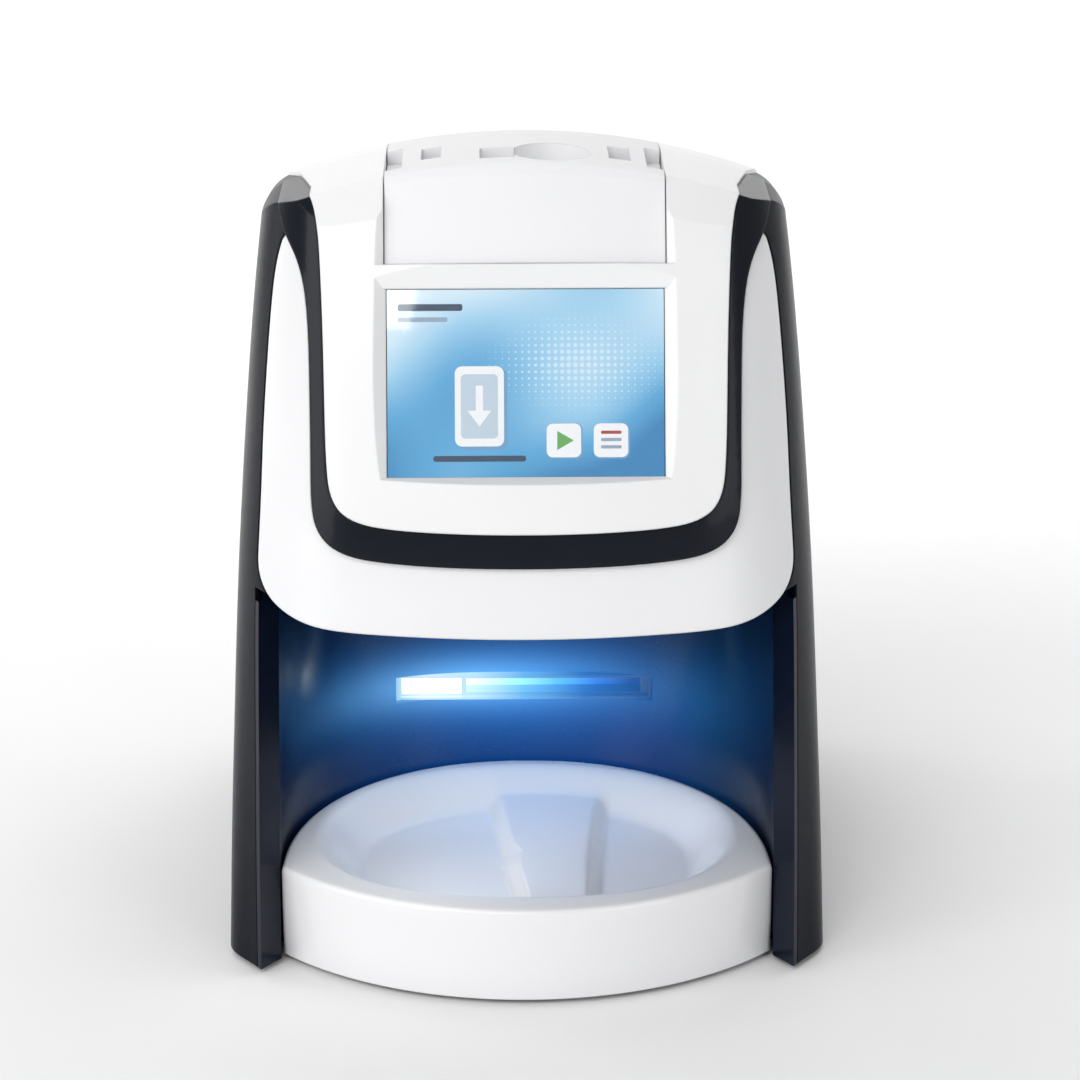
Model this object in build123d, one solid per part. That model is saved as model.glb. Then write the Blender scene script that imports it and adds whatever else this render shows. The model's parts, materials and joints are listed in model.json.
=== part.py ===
from build123d import *
import math
import os

os.makedirs("parts", exist_ok=True)

# ---------------------------------------------------------------------------
# Desktop scanner for dental phosphor plates.  Millimetres, +Z up, the front
# faces -Y, +X is the right-hand side seen from the front.  The origin is the
# bottom centre of the whole object, in the plane that the rubber feet stand on.
# ---------------------------------------------------------------------------

# Driving dimensions -------------------------------------------------------
GROUND_GAP = 2.0          # casing clearance over the table
WALL = 2.5                # casing wall
GAP = 0.3                 # visible shut line between casing pieces
HEAD_PROUD = 3.5          # head shell stands this far in front of the flank skin
BAND_PROUD = 2.0          # dark trim band stands this far proud
TOP_Z = 251.0             # height of the flank skin's arched top, at its front
HEAD_LIFT = 1.0           # the head's top over that of the flanks
TOP_R = 219.0             # radius of the arch across the top
TOP_RUNS = [(-20.0, 0.12), (0.0, 0.30)]  # the top is level, then falls from these y at these slopes
SHOULDER_R = 14.0         # rounding between top and sides
SHOULDER_X = 82.6         # where that rounding turns upright
FACE_BOW_R = 290.0        # plan radius of the front face
REAR_Y = 119.5            # rearmost point

TRAY_RIM_Z = 32.0         # height of the collection tray's rim
TRAY_FRONT_Y = -119.5     # frontmost point of the tray
TRAY_HALF_W = 77.3
TRAY_CORNER_Y = -84.6
TRAY_GAP = 0.5
TRAY_WALL = 3.0

SCREEN_TILT = 19.5        # lean of the display, degrees from upright
SCREEN_Y, SCREEN_Z = -84.0, 190.0
SCREEN_HALF_W = 42.0
SCREEN_V0, SCREEN_V1 = -28.3, 28.5

PANEL_HALF_W = 42.4       # removable top panel

SLOT_HALF_W = 42.6        # recess round the plate slot
SLOT_Z0, SLOT_Z1 = 56.0, 64.4
SLIT_X0, SLIT_X1 = -19.5, 39.0
SLIT_Z0, SLIT_Z1 = 57.7, 62.7

PLATE_Z = 58.0            # underside of the plate while it is read
ROLLER_R, SHAFT_R = 6.0, 2.0
PINCH_R, PINCH_SHAFT_R = 4.0, 1.5
FRONT_ROLLER_Y, REAR_ROLLER_Y = 28.0, 88.0
GEAR_MODULE = 0.8
GEAR_TEETH, PINION_TEETH = 40, 12
GEAR_BACKLASH = 0.12

# height, nose x, nose y, widest x, widest y, front centre y, rear centre y
TABLE = [(-40, 84.0, -101.6, 96.2, -84.0, -123.0, 120.2),
         (0, 83.9, -96.5, 95.0, -76.0, -116.6, 119.55),
         (40, 83.7, -90.8, 93.9, -68.0, -111.0, 118.2),
         (80, 83.3, -84.2, 92.4, -59.5, -106.0, 114.0),
         (118, 82.8, -77.0, 90.8, -50.5, -101.5, 107.0),
         (150, 81.5, -70.3, 88.9, -42.0, -97.5, 97.0),
         (180, 80.0, -63.4, 86.8, -34.0, -90.0, 83.5),
         (210, 77.5, -56.0, 84.2, -26.0, -79.5, 66.0),
         (238, 74.5, -48.6, 81.0, -19.0, -68.5, 46.0),
         (268, 70.5, -40.5, 77.0, -11.0, -55.0, 20.0),
         (298, 66.5, -32.4, 73.0, -3.0, -41.5, -6.0)]
LEVELS = [-34 + 27.5 * i for i in range(12)]


# ---------------------------------------------------------------------------
# Helpers
# ---------------------------------------------------------------------------
def row_at(z):
    zs = [r[0] for r in TABLE]
    i = max(0, min(len(TABLE) - 2, sum(1 for q in zs if q <= z) - 1))
    n = len(TABLE) - 1
    out = [z]
    for k in range(1, 7):
        def slope(j):
            a, b = max(0, j - 1), min(n, j + 1)
            return (TABLE[b][k] - TABLE[a][k]) / (zs[b] - zs[a])
        h = zs[i + 1] - zs[i]
        t = (z - zs[i]) / h
        out.append((2 * t ** 3 - 3 * t * t + 1) * TABLE[i][k] + (t ** 3 - 2 * t * t + t) * h * slope(i)
                   + (-2 * t ** 3 + 3 * t * t) * TABLE[i + 1][k] + (t ** 3 - t * t) * h * slope(i + 1))
    return out


def bez(p0, p1, p2, p3, n):
    o = []
    for i in range(n):
        t = i / n
        a, b, c, d = (1 - t) ** 3, 3 * t * (1 - t) ** 2, 3 * t * t * (1 - t), t ** 3
        o.append((a * p0[0] + b * p1[0] + c * p2[0] + d * p3[0],
                  a * p0[1] + b * p1[1] + c * p2[1] + d * p3[1]))
    return o


def half_section(row):
    """Right half of a plan section, from the front centre round to the back."""
    z, xn, yn, xw, yw, yf, yb = row
    xa = 57.0
    ya = yf + xa * xa / (2 * FACE_BOW_R)
    sx, sy = 1.0, xa / FACE_BOW_R
    tx, ty = 0.50, 0.866
    k1 = 0.36 * math.hypot(xn - xa, yn - ya)
    k2 = 0.36 * math.hypot(xw - xn, yw - yn)
    o = [(x, yf + x * x / (2 * FACE_BOW_R)) for x in (0, 15, 30, 44)]
    o += bez((xa, ya), (xa + k1 * sx, ya + k1 * sy), (xn - k1 * tx, yn - k1 * ty), (xn, yn), 5)
    o += bez((xn, yn), (xn + k2 * tx, yn + k2 * ty), (xw, yw - k2), (xw, yw), 4)
    yr, xr = yb - 30.0, xw - 6.0
    run = yr - yw
    o += bez((xw, yw), (xw, yw + run * 0.33), (xr + 0.033 * run, yr - run * 0.33), (xr, yr), 6)
    o += bez((xr, yr), (xr - 1.6, yr + 16), (xr - 14, yb - 4.5), (xr - 30, yb - 3.2), 6)
    xq = xr - 30
    o += [(xq, yb - 3.2), (xq * 0.66, yb - 1.4), (xq * 0.33, yb - 0.35), (0, yb)]
    return o


def section_wire(z, inset):
    h = half_section(row_at(z))[::-1]
    full = h + [(-x, y) for x, y in reversed(h[1:-1])]
    n = len(full)
    pts = []
    for i in range(n):
        x0, y0 = full[i - 1]
        x1, y1 = full[(i + 1) % n]
        tx, ty = x1 - x0, y1 - y0
        ln = math.hypot(tx, ty)
        nx, ny = -ty / ln, tx / ln
        cx, cy = full[i]
        if nx * -cx + ny * -cy < 0:
            nx, ny = -nx, -ny
        pts.append(Vector(cx + nx * inset, cy + ny * inset, z))
    return Wire([Edge.make_spline(pts, periodic=True, parameters=KNOTS)])


def chords(points, closed):
    """Relative lengths along a row of points, for splines that share knots."""
    ring = points + [points[0]] if closed else points
    total = [0.0]
    for (x0, y0), (x1, y1) in zip(ring, ring[1:]):
        total.append(total[-1] + math.hypot(x1 - x0, y1 - y0))
    return [t / total[-1] for t in total]


_ref = half_section(row_at(118))[::-1]
KNOTS = chords(_ref + [(-x, y) for x, y in reversed(_ref[1:-1])], True)


def block(x0, x1, y0, y1, z0, z1):
    return Box(x1 - x0, y1 - y0, z1 - z0, align=(Align.MIN, Align.MIN, Align.MIN)).moved(Location((x0, y0, z0)))


def rod_x(r, x0, x1, y, z):
    return Cylinder(r, x1 - x0, rotation=(0, 90, 0), align=(Align.CENTER, Align.CENTER, Align.CENTER)).moved(
        Location(((x0 + x1) / 2, y, z)))


def rod_y(r, y0, y1, x, z):
    return Cylinder(r, y1 - y0, rotation=(90, 0, 0), align=(Align.CENTER, Align.CENTER, Align.CENTER)).moved(
        Location((x, (y0 + y1) / 2, z)))


def rod_z(r, z0, z1, x, y):
    return Cylinder(r, z1 - z0, align=(Align.CENTER, Align.CENTER, Align.MIN)).moved(Location((x, y, z0)))


def arch_face(y0, top, radius, side_x, side_r):
    """Cross-section of all that lies over an arched, round-shouldered line."""
    zc = top - radius + math.sqrt((radius - side_r) ** 2 - (side_x - side_r) ** 2)
    xc = side_x - side_r
    k = radius / (radius - side_r)
    zt = top - radius + (zc - top + radius) * k
    a0 = math.atan2(zt - zc, xc * k - xc)
    mid = (xc + side_r * math.cos(a0 / 2), zc + side_r * math.sin(a0 / 2))
    edges = [Edge.make_three_point_arc(Vector(-xc * k, y0, zt), Vector(0, y0, top), Vector(xc * k, y0, zt)),
             Edge.make_three_point_arc(Vector(xc * k, y0, zt), Vector(mid[0], y0, mid[1]), Vector(side_x, y0, zc)),
             Edge.make_line(Vector(side_x, y0, zc), Vector(130, y0, zc)),
             Edge.make_line(Vector(130, y0, zc), Vector(130, y0, 520)),
             Edge.make_line(Vector(130, y0, 520), Vector(-130, y0, 520)),
             Edge.make_line(Vector(-130, y0, 520), Vector(-130, y0, zc)),
             Edge.make_line(Vector(-130, y0, zc), Vector(-side_x, y0, zc)),
             Edge.make_three_point_arc(Vector(-side_x, y0, zc), Vector(-mid[0], y0, mid[1]), Vector(-xc * k, y0, zt))]
    return Face(Wire(edges))


def top_cutters(lift):
    """Everything above the arched top, which falls in steps towards the back."""
    y0 = -170.0
    runs = [(y0, 0.0)] + TOP_RUNS
    cutters, level = [], TOP_Z + lift
    for i, (y, slope) in enumerate(runs):
        if i:
            level -= runs[i - 1][1] * (y - runs[i - 1][0])
        face = arch_face(y0, level + slope * (y - y0), TOP_R + lift, SHOULDER_X + lift, SHOULDER_R + lift)
        cutters.append(Solid.extrude(face, Vector(0, 340, -340 * slope)))
    return cutters


def ridge_cutter(lift, slope, bite, radius):
    """Bevel along the front ridge, where the face meets the top."""
    y0 = -170.0
    yr = row_at(TOP_Z + lift)[5] - lift * 1.05
    top = TOP_Z + lift - bite + slope * (y0 - yr)
    drop = 130.0 ** 2 / (2 * radius)
    arc = Edge.make_three_point_arc(Vector(-130, y0, top - drop), Vector(0, y0, top), Vector(130, y0, top - drop))
    up = [Edge.make_line(Vector(130, y0, top - drop), Vector(130, y0, top + 300)),
          Edge.make_line(Vector(130, y0, top + 300), Vector(-130, y0, top + 300)),
          Edge.make_line(Vector(-130, y0, top + 300), Vector(-130, y0, top - drop))]
    return Solid.extrude(Face(Wire([arc] + up)), Vector(0, 190, 190 * slope))


def body(inset, lift=None, z0=GROUND_GAP, ridge=True):
    """The casing's outer form, inset by a distance (negative: proud)."""
    lift = -inset if lift is None else lift
    s = Solid.make_loft([section_wire(z, inset) for z in LEVELS])
    s = s - block(-200, 200, -200, 200, -80, z0)
    for cutter in top_cutters(lift):
        s = s - cutter
    if ridge:
        s = s - ridge_cutter(lift, 0.42, 1.7, 190.0) - ridge_cutter(lift, 1.05, 3.6, 165.0)
    return s.solids()[0]


def prism(right, y0=-150.0, y1=150.0, closed_top=None):
    """A front-view outline swept along Y.  right holds the right half, bottom
    centre first, as (x, z); it is mirrored, and closed straight over the top."""
    left = [(-x, z) for x, z in reversed(right[1:])]
    pts = left + right
    e = Edge.make_spline([Vector(x, y0, z) for x, z in pts])
    top = Edge.make_line(Vector(right[-1][0], y0, right[-1][1]), Vector(-right[-1][0], y0, right[-1][1]))
    return Solid.extrude(Face(Wire([e, top])), Vector(0, y1 - y0, 0))


def offset_outline(right, d):
    """Move an outline outwards by d (negative: inwards)."""
    out = []
    n = len(right)
    for i, (x, z) in enumerate(right):
        x0, z0 = right[max(0, i - 1)]
        x1, z1 = right[min(n - 1, i + 1)]
        if i == 0:
            x0, z0 = -x1, z1
        tx, tz = x1 - x0, z1 - z0
        ln = math.hypot(tx, tz)
        out.append((x + d * tz / ln, z - d * tx / ln))
    out[0] = (0.0, out[0][1])
    return out


def poly_prism_x(pts, x0, x1):
    """A side-view polygon of (y, z) swept along X."""
    w = Wire([Edge.make_line(Vector(x0, *pts[i]), Vector(x0, *pts[(i + 1) % len(pts)])) for i in range(len(pts))])
    return Solid.extrude(Face(w), Vector(x1 - x0, 0, 0))


def gear(teeth, module, bore, x0, x1, y, z, phase, shrink=0.0):
    """Involute spur gear on an axis along X, phase in degrees."""
    pa = math.radians(20)
    rp = teeth * module / 2
    rb = rp * math.cos(pa)
    ra = rp + 0.92 * module
    rf = rp - 1.18 * module
    half = math.pi / (2 * teeth) - shrink / rp
    inv = math.tan(pa) - pa

    def flank(r):
        if r <= rb:
            return half + inv
        a = math.acos(rb / r)
        return half + inv - (math.tan(a) - a)
    pts = []
    for i in range(teeth):
        c = 2 * math.pi * i / teeth + math.radians(phase)
        radii = [rf, rf + (ra - rf) * 0.35, rf + (ra - rf) * 0.7, ra]
        for r in radii:
            pts.append((r, c - flank(r)))
        for r in reversed(radii):
            pts.append((r, c + flank(r)))
    v = [Vector(x0, y + r * math.cos(a), z + r * math.sin(a)) for r, a in pts]
    w = Wire([Edge.make_line(v[i], v[(i + 1) % len(v)]) for i in range(len(v))])
    return Solid.extrude(Face(w), Vector(x1 - x0, 0, 0)) - rod_x(bore, x0 - 1, x1 + 1, y, z)


def save(shape, name):
    solids = shape.solids() if hasattr(shape, "solids") else shape
    out = solids[0] if len(solids) == 1 else Compound(children=list(solids))
    out.label = name
    export_step(out, "parts/" + name + ".step")


# Plane of the display: u to the right, v up the slope, w out of the glass ----
TILT = math.radians(SCREEN_TILT)
SCREEN = Plane(origin=(0, SCREEN_Y, SCREEN_Z), x_dir=(1, 0, 0), z_dir=(0, -math.cos(TILT), math.sin(TILT)))


def on_screen(shape):
    return SCREEN.location * shape


def slab(u0, u1, v0, v1, w0, w1):
    return on_screen(block(u0, u1, v0, v1, w0, w1))


# ---------------------------------------------------------------------------
# Front-view outlines of the casing pieces (right half, bottom centre first)
# ---------------------------------------------------------------------------
HEAD_LINE = [(0, 147.4), (16, 147.5), (32, 147.9), (44, 148.7), (51.5, 150.3), (56.3, 153.2), (59, 158), (60.1, 165),
             (60.6, 178), (60.9, 195), (61.3, 210), (61.9, 224), (62.9, 235), (64.9, 241.5), (68.3, 245.6),
             (73, 248.2), (82, 250.6), (100, 254)]
BAND_LINE = [(0, 136.6), (16, 136.7), (32, 137.1), (45, 137.9), (54, 139.4), (60, 142.3), (63.6, 147.0), (64.9, 153.5),
             (65.1, 166), (65.2, 184), (65.5, 200), (66.3, 211.5), (67.9, 220.0), (70.2, 225.6), (72.6, 229.6),
             (74.4, 234), (75.7, 240), (76.6, 247), (77.2, 256)]
COLLAR_LINE = [(0, 114.2), (20, 114.3), (40, 114.6), (58, 115.2), (68, 116.5), (75, 118.9), (79.8, 122.2), (82.3, 127),
               (82.6, 134), (81.7, 148), (80.6, 170), (79.2, 190), (77.5, 209), (75.9, 220), (73.9, 227.4)]
BAND_BACK_Y = -22.0

SKIN = body(0.0)
SKIN_IN = body(WALL, z0=-5.0)
REAR_CUT = poly_prism_x([(83, -10), (20, 262), (20, 420), (400, 420), (400, -10)], -200, 200)
REAR_CUT_FRONT = poly_prism_x([(83 - GAP, -10), (20 - GAP, 262), (20 - GAP, 420), (400, 420), (400, -10)], -200, 200)

# on top, the white piece's edge runs back along the shoulders, seen in plan
TOP_EDGE = [(61.5, -57), (63.4, -52.5), (65.2, -46), (67.0, -36), (68.7, -27), (71.3, -14.5), (73.6, -5), (75.1, 5),
            (76, 20), (76.3, 45), (76.4, 80)]


def top_zone(grow):
    """All that lies inside the shoulders' edge line, over the front ridge."""
    right = [Vector(x + grow, y, 215) for x, y in TOP_EDGE]
    left = [Vector(-x - grow, y, 215) for x, y in reversed(TOP_EDGE)]
    edges = [Edge.make_spline(right), Edge.make_line(right[-1], left[0]), Edge.make_spline(left),
             Edge.make_line(left[-1], right[0])]
    return Solid.extrude(Face(Wire(edges)), Vector(0, 0, 85))


head_zone = prism(HEAD_LINE + [(100, 300)]) + top_zone(0.0)
head_zone_gap = prism(offset_outline(HEAD_LINE, GAP) + [(100.3, 300)]) + top_zone(GAP)
band_zone = prism(BAND_LINE + [(79, 300)])
band_zone_gap = prism(offset_outline(BAND_LINE, 0.2) + [(79.2, 300)])
collar_zone_raw = COLLAR_LINE


def collar_zone(d):
    """Front-view outline of the collar's outer edge; its legs end in points."""
    line = offset_outline(COLLAR_LINE, d)
    left = [(-x, z) for x, z in reversed(line[1:])]
    e = Edge.make_spline([Vector(x, -150, z) for x, z in left + line])
    xt, zt = line[-1]
    top = [Edge.make_line(Vector(xt, -150, zt), Vector(xt - 1.5, -150, zt + 2.2)),
           Edge.make_line(Vector(xt - 1.5, -150, zt + 2.2), Vector(-xt + 1.5, -150, zt + 2.2)),
           Edge.make_line(Vector(-xt + 1.5, -150, zt + 2.2), Vector(-xt, -150, zt))]
    return Solid.extrude(Face(Wire([e] + top)), Vector(0, 160, 0))


# ---------------------------------------------------------------------------
# Cavity under the head: a lofted bay, widest at the front corners
# ---------------------------------------------------------------------------
CAV_LEVELS = [-8.0, 18.0, 44.0, 70.0, 96.0, 122.0]


def cavity_wire(z, grow):
    row = row_at(z)
    xn, yn = row[1], row[2]
    xc, yc = xn - 5.9, yn + 8.3
    t = max(0.0, min(1.0, (z - 30) / 40.0))
    t = t * t * (3 - 2 * t)
    power = 2.15 + (3.0 - 2.15) * t
    back = 5.3 + (1.6 - 5.3) * t - 0.03 * max(0.0, z - 70)
    a, b = xc + grow, back - yc + grow
    pts = []
    steps = 28
    for i in range(steps + 1):
        q = math.pi * i / steps
        c, s = math.cos(q), math.sin(q)
        pts.append(Vector(math.copysign(abs(c) ** (2 / power), c) * a, yc + (abs(s) ** (2 / power)) * b, z))
    pts[0], pts[-1] = Vector(a, yc, z), Vector(-a, yc, z)
    arc = Edge.make_spline(pts, parameters=[i / steps for i in range(steps + 1)])
    # the flared throat runs on past the nose, in line with it
    dx, dy = xn - xc, yn - yc
    k = 4.6
    f = Vector(xc + grow + dx * k, yc + dy * k, z)
    g = Vector(-f.X, f.Y, z)
    return Wire([arc, Edge.make_line(pts[-1], g), Edge.make_line(g, f), Edge.make_line(f, pts[0])])


cavity = Solid.make_loft([cavity_wire(z, 0.0) for z in CAV_LEVELS])
cavity_out = Solid.make_loft([cavity_wire(z, 2.4) for z in CAV_LEVELS + [124.4]])
cavity_gap = Solid.make_loft([cavity_wire(z, 2.7) for z in CAV_LEVELS])

# cavity liner: walls that run out to the noses, and a roof under the head
inner_skin = body(2.9, z0=-5.0)
walls = (cavity_out & SKIN) & block(-120, 120, -140, 20, GROUND_GAP, 118)
roof = (cavity_out & inner_skin) & block(-120, 120, -140, 20, 118, 124.4)
cavity_liner = (walls + roof) - cavity
cavity_liner -= block(-120, 120, -81, 20, 0, 4.9)
cavity_liner -= block(-42.9, 42.9, -16, 20, 55.7, 64.7)

# ---------------------------------------------------------------------------
# Casing pieces
# ---------------------------------------------------------------------------
shell = SKIN - SKIN_IN
front_shell = shell - REAR_CUT_FRONT

collar_in = body(2.8, z0=-5.0)
collar_shell = ((SKIN - collar_in) & collar_zone(0.0)) - band_zone_gap

band_skin = body(-BAND_PROUD, lift=0.5)
band_back = body(1.6, z0=-5.0)
trim_band = ((band_skin - band_back) & band_zone) - head_zone_gap
trim_band = trim_band & block(-200, 200, -200, BAND_BACK_Y - GAP, 0, 400)

flanks = front_shell - head_zone_gap - collar_zone(GAP * 0.8) - cavity_gap
flanks -= band_zone_gap & block(-200, 200, -200, BAND_BACK_Y, 0, 400)
flanks -= block(-60, 60, -200, 200, 0, 400)
side_panel_left = ShapeList([s for s in flanks.solids() if s.center().X < 0 and s.volume > 200])
side_panel_right = ShapeList([s for s in flanks.solids() if s.center().X > 0 and s.volume > 200])

# head shell, with the channel between its pillars
head_skin = body(-HEAD_PROUD, lift=HEAD_LIFT)
head_back = body(-HEAD_PROUD + 3.0, lift=HEAD_LIFT - 2.6)
head_inside = prism(offset_outline(HEAD_LINE, -2.4) + [(97.6, 300)])
head_solid = (head_skin & head_zone) - REAR_CUT_FRONT


def trough(v0, v1):
    """Channel between the pillars: flat floor at the glass, sloping sides."""
    pts = [(-SCREEN_HALF_W, 0), (SCREEN_HALF_W, 0), (SCREEN_HALF_W + 10, 6.6), (70, 25), (-70, 25),
           (-SCREEN_HALF_W - 10, 6.6)]
    w = Wire([Edge.make_line(Vector(pts[i][0], v0, pts[i][1]), Vector(pts[(i + 1) % 6][0], v0, pts[(i + 1) % 6][1]))
              for i in range(6)])
    return on_screen(Solid.extrude(Face(w), Vector(0, v1 - v0, 0)))


def side_wedge(profile, u0, u1):
    """A polygon of (v, w) swept along the display's width."""
    n = len(profile)
    w = Wire([Edge.make_line(Vector(u0, *profile[i]), Vector(u0, *profile[(i + 1) % n])) for i in range(n)])
    return on_screen(Solid.extrude(Face(w), Vector(u1 - u0, 0, 0)))


STEP_V = SCREEN_V1 + 7.2
channel = trough(SCREEN_V0, 110) - side_wedge([(SCREEN_V1, -1), (SCREEN_V1, 0.6), (STEP_V, 4.2), (STEP_V, -1)], -90, 90)
chin = side_wedge([(SCREEN_V0 + 0.01, 0), (SCREEN_V0 - 3.6, 6.0), (SCREEN_V0 - 12, 25), (SCREEN_V0 + 0.01, 25)], -80, 80)
chin = chin & trough(SCREEN_V0 - 30, SCREEN_V0 + 5)
window = slab(-SCREEN_HALF_W, SCREEN_HALF_W, SCREEN_V0, SCREEN_V1, -12, 5)
keep = slab(-54, 54, SCREEN_V0 - 6, 48, -2.6, 60)
panel_hole = slab(-PANEL_HALF_W - GAP, PANEL_HALF_W + GAP, STEP_V, 140, -120, 60) & block(-60, 60, -140, -4 + GAP, 200, 300)
panel_keep = slab(-PANEL_HALF_W - 3, PANEL_HALF_W + 3, STEP_V - 3, 140, -120, 60) & block(-60, 60, -140, -1, 200, 300)
panel_bed_out = body(-HEAD_PROUD + 14.6, lift=-13.6, ridge=False)
panel_bed_in = body(-HEAD_PROUD + 12.6, lift=-11.6, ridge=False)
panel_bed_cut = panel_hole - panel_bed_in
head_shell = head_solid - ((head_back & head_inside) - keep - panel_keep) - (body(1.2, ridge=False) - keep - panel_keep)
head_shell = head_shell - (panel_bed_out & panel_keep) - channel - chin - window - panel_bed_cut

# removable top panel with its pockets
panel_out = body(0.2, lift=HEAD_LIFT + 0.4)
panel_in = body(3.4, lift=-9.0, ridge=False)
panel_zone = slab(-PANEL_HALF_W, PANEL_HALF_W, STEP_V + GAP, 140, -120, 60) & block(-60, 60, -140, -4, 200, 300)
top_panel = (panel_out & panel_zone) - panel_in

# pockets in the panel's top: a round bowl, a narrow channel, two small ones
bowl = Solid.make_cylinder(12.2, 40, Plane(origin=(8.3, -44.5, 244.6), z_dir=(0, 0, 1)))
top_panel -= bowl
top_panel -= block(-13.5, -3.0, -52.5, -38.5, 245.4, 300)
top_panel -= block(26.0, 32.5, -48, -31, 244.9, 300)
top_panel -= block(-31.5, -25.5, -46, -31, 244.9, 300)
for sx in (-1, 1):
    top_panel -= block(min(sx * 37.4, sx * 50), max(sx * 37.4, sx * 50), -53, -26, 244.4, 300)

# display
touch_glass = slab(-SCREEN_HALF_W + 0.15, SCREEN_HALF_W - 0.15, SCREEN_V0 + 0.15, SCREEN_V1 - 0.15, -1.2, -0.1)
lcd_module = slab(-SCREEN_HALF_W - 1.0, SCREEN_HALF_W + 1.0, SCREEN_V0 - 1, SCREEN_V1 + 1, -6.6, -2.7)
lcd_module = lcd_module + slab(-SCREEN_HALF_W + 0.4, SCREEN_HALF_W - 0.4, SCREEN_V0 + 0.4, SCREEN_V1 - 0.4, -2.7, -1.3)
display_board = slab(-40, 40, -24, 26, -10.2, -8.6) + slab(-14, 14, -10, 14, -8.6, -7.0) + slab(22, 34, -20, -8, -8.6, -7.2)
display_bracket = slab(-47, 47, -33, 34, -13.4, -12.0) - slab(-30, 30, -16, 18, -15, -10)
for sx in (-1, 1):
    for v in (-29.8, 30.8):
        display_bracket += slab(min(sx * 43.4, sx * 46.6), max(sx * 43.4, sx * 46.6), v - 1.6, v + 1.6, -12.0, -2.8)

# ---------------------------------------------------------------------------
# Collection tray: the white bowl and front apron, lifts and pulls out forwards
# ---------------------------------------------------------------------------
def tray_wire(z, grow, rear_extra=0.0, power=2.15):
    """Front: one arc.  Back: follows the cavity wall."""
    xc, yc = TRAY_HALF_W + grow, TRAY_CORNER_Y
    back = 5.3 - TRAY_GAP + grow + rear_extra
    b = back - yc
    pts = []
    steps = 24
    for i in range(steps + 1):
        q = math.pi * i / steps
        c, s = math.cos(q), math.sin(q)
        pts.append(Vector(math.copysign(abs(c) ** (2 / power), c) * xc, yc + (abs(s) ** (2 / power)) * b, z))
    pts[0], pts[-1] = Vector(xc, yc, z), Vector(-xc, yc, z)
    arc = Edge.make_spline(pts, parameters=[i / steps for i in range(steps + 1)])
    front = Edge.make_three_point_arc(pts[-1], Vector(0, TRAY_FRONT_Y - grow, z), pts[0])
    return Wire([arc, front])


tray_block = Solid.make_loft([tray_wire(GROUND_GAP, 0.0), tray_wire(TRAY_RIM_Z - 1.5, 0.0),
                              tray_wire(TRAY_RIM_Z - 0.5, -0.45), tray_wire(TRAY_RIM_Z, -1.4)], ruled=True)
under = Solid.extrude(Face(tray_wire(0, -TRAY_WALL)), Vector(0, 0, 16.0))
tray_block -= under
tray_block -= block(-100, 100, TRAY_CORNER_Y + 4, 20, 0, 5.2)
# dish: a shallow floor, with a deeper hollow on each side of the raised middle
dish_top = tray_wire(TRAY_RIM_Z + 0.01, -9.5, 4.0)
dish_floor = tray_wire(25.6, -14.5, 4.5)
dish = Solid.make_loft([dish_top, dish_floor], ruled=True)
tray_block -= dish
deep = Solid.make_loft([tray_wire(25.7, -14.6, 4.5), tray_wire(20.5, -19.0, 4.0)], ruled=True)


def middle_band(grow):
    """Plan of the raised middle, between two gently curved ridges."""
    left = [(-12.5 - grow, 14), (-9.5 - grow, -20), (-6.0 - grow, -55), (-2.0 - grow, -90), (0.5 - grow, -122)]
    right = [(20.5 + grow, -122), (21.0 + grow, -90), (22.5 + grow, -55), (25.5 + grow, -20), (30.5 + grow, 14)]
    z = 10.0
    a = Edge.make_spline([Vector(x, y, z) for x, y in left])
    b = Edge.make_spline([Vector(x, y, z) for x, y in right])
    w = Wire([a, Edge.make_line(Vector(*left[-1], z), Vector(*right[0], z)), b,
              Edge.make_line(Vector(*right[-1], z), Vector(*left[0], z))])
    return Solid.extrude(Face(w), Vector(0, 0, 40))


plate_tray = tray_block - (deep - middle_band(0.0))
# ribs under the floor, a hair above the base plate
for x, y0, y1 in ((-45, -100, -17), (0, -111, -5), (45, -100, -17)):
    plate_tray += block(x - 1.2, x + 1.2, y0, y1, 4.95, 17.0)

# ---------------------------------------------------------------------------
# Slot insert, its light guide, lamp board and the light-tight flap
# ---------------------------------------------------------------------------
SLOT_FACE_Y = -1.0
FLAP_Y, FLAP_Z = 10.4, 66.6
slot_bezel = block(-SLOT_HALF_W, SLOT_HALF_W, SLOT_FACE_Y, 6.4, SLOT_Z0, SLOT_Z1)
slot_bezel += block(-46.5, 46.5, 6.2, 8.2, 52.6, 70.2)
slot_bezel -= block(-SLOT_HALF_W + 0.9, SLOT_HALF_W - 0.9, SLOT_FACE_Y - 1, SLOT_FACE_Y + 2.2, SLOT_Z0 + 0.8, SLOT_Z1 - 0.8)
slot_bezel -= block(SLIT_X0, SLIT_X1, -5, 12, SLIT_Z0, SLIT_Z1)
slot_bezel -= block(-41.2, -21.0, -5, 12, SLOT_Z0 + 1.1, SLOT_Z1 - 1.1)
for x0 in (-23.2, 40.4):
    ear = block(x0, x0 + 2.2, 8.2, 13.2, 63.9, 69.8) - rod_x(1.05, x0 - 1, x0 + 4, FLAP_Y, FLAP_Z)
    slot_bezel += ear
slot_light_guide = block(-41.0, -21.2, 1.6, 9.0, SLOT_Z0 + 1.3, SLOT_Z1 - 1.3)
slot_light_guide += block(-44, -25.0, 8.5, 10.3, 55, 68)
led_board = block(-45, -25.4, 11.1, 12.5, 52, 72)
for i in range(4):
    led_board += block(-42.6 + 4.4 * i, -40.4 + 4.4 * i, 10.6, 11.1, 59.2, 61.6)
shutter_pin = rod_x(1.0, -23.8, 43.2, FLAP_Y, FLAP_Z)
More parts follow.
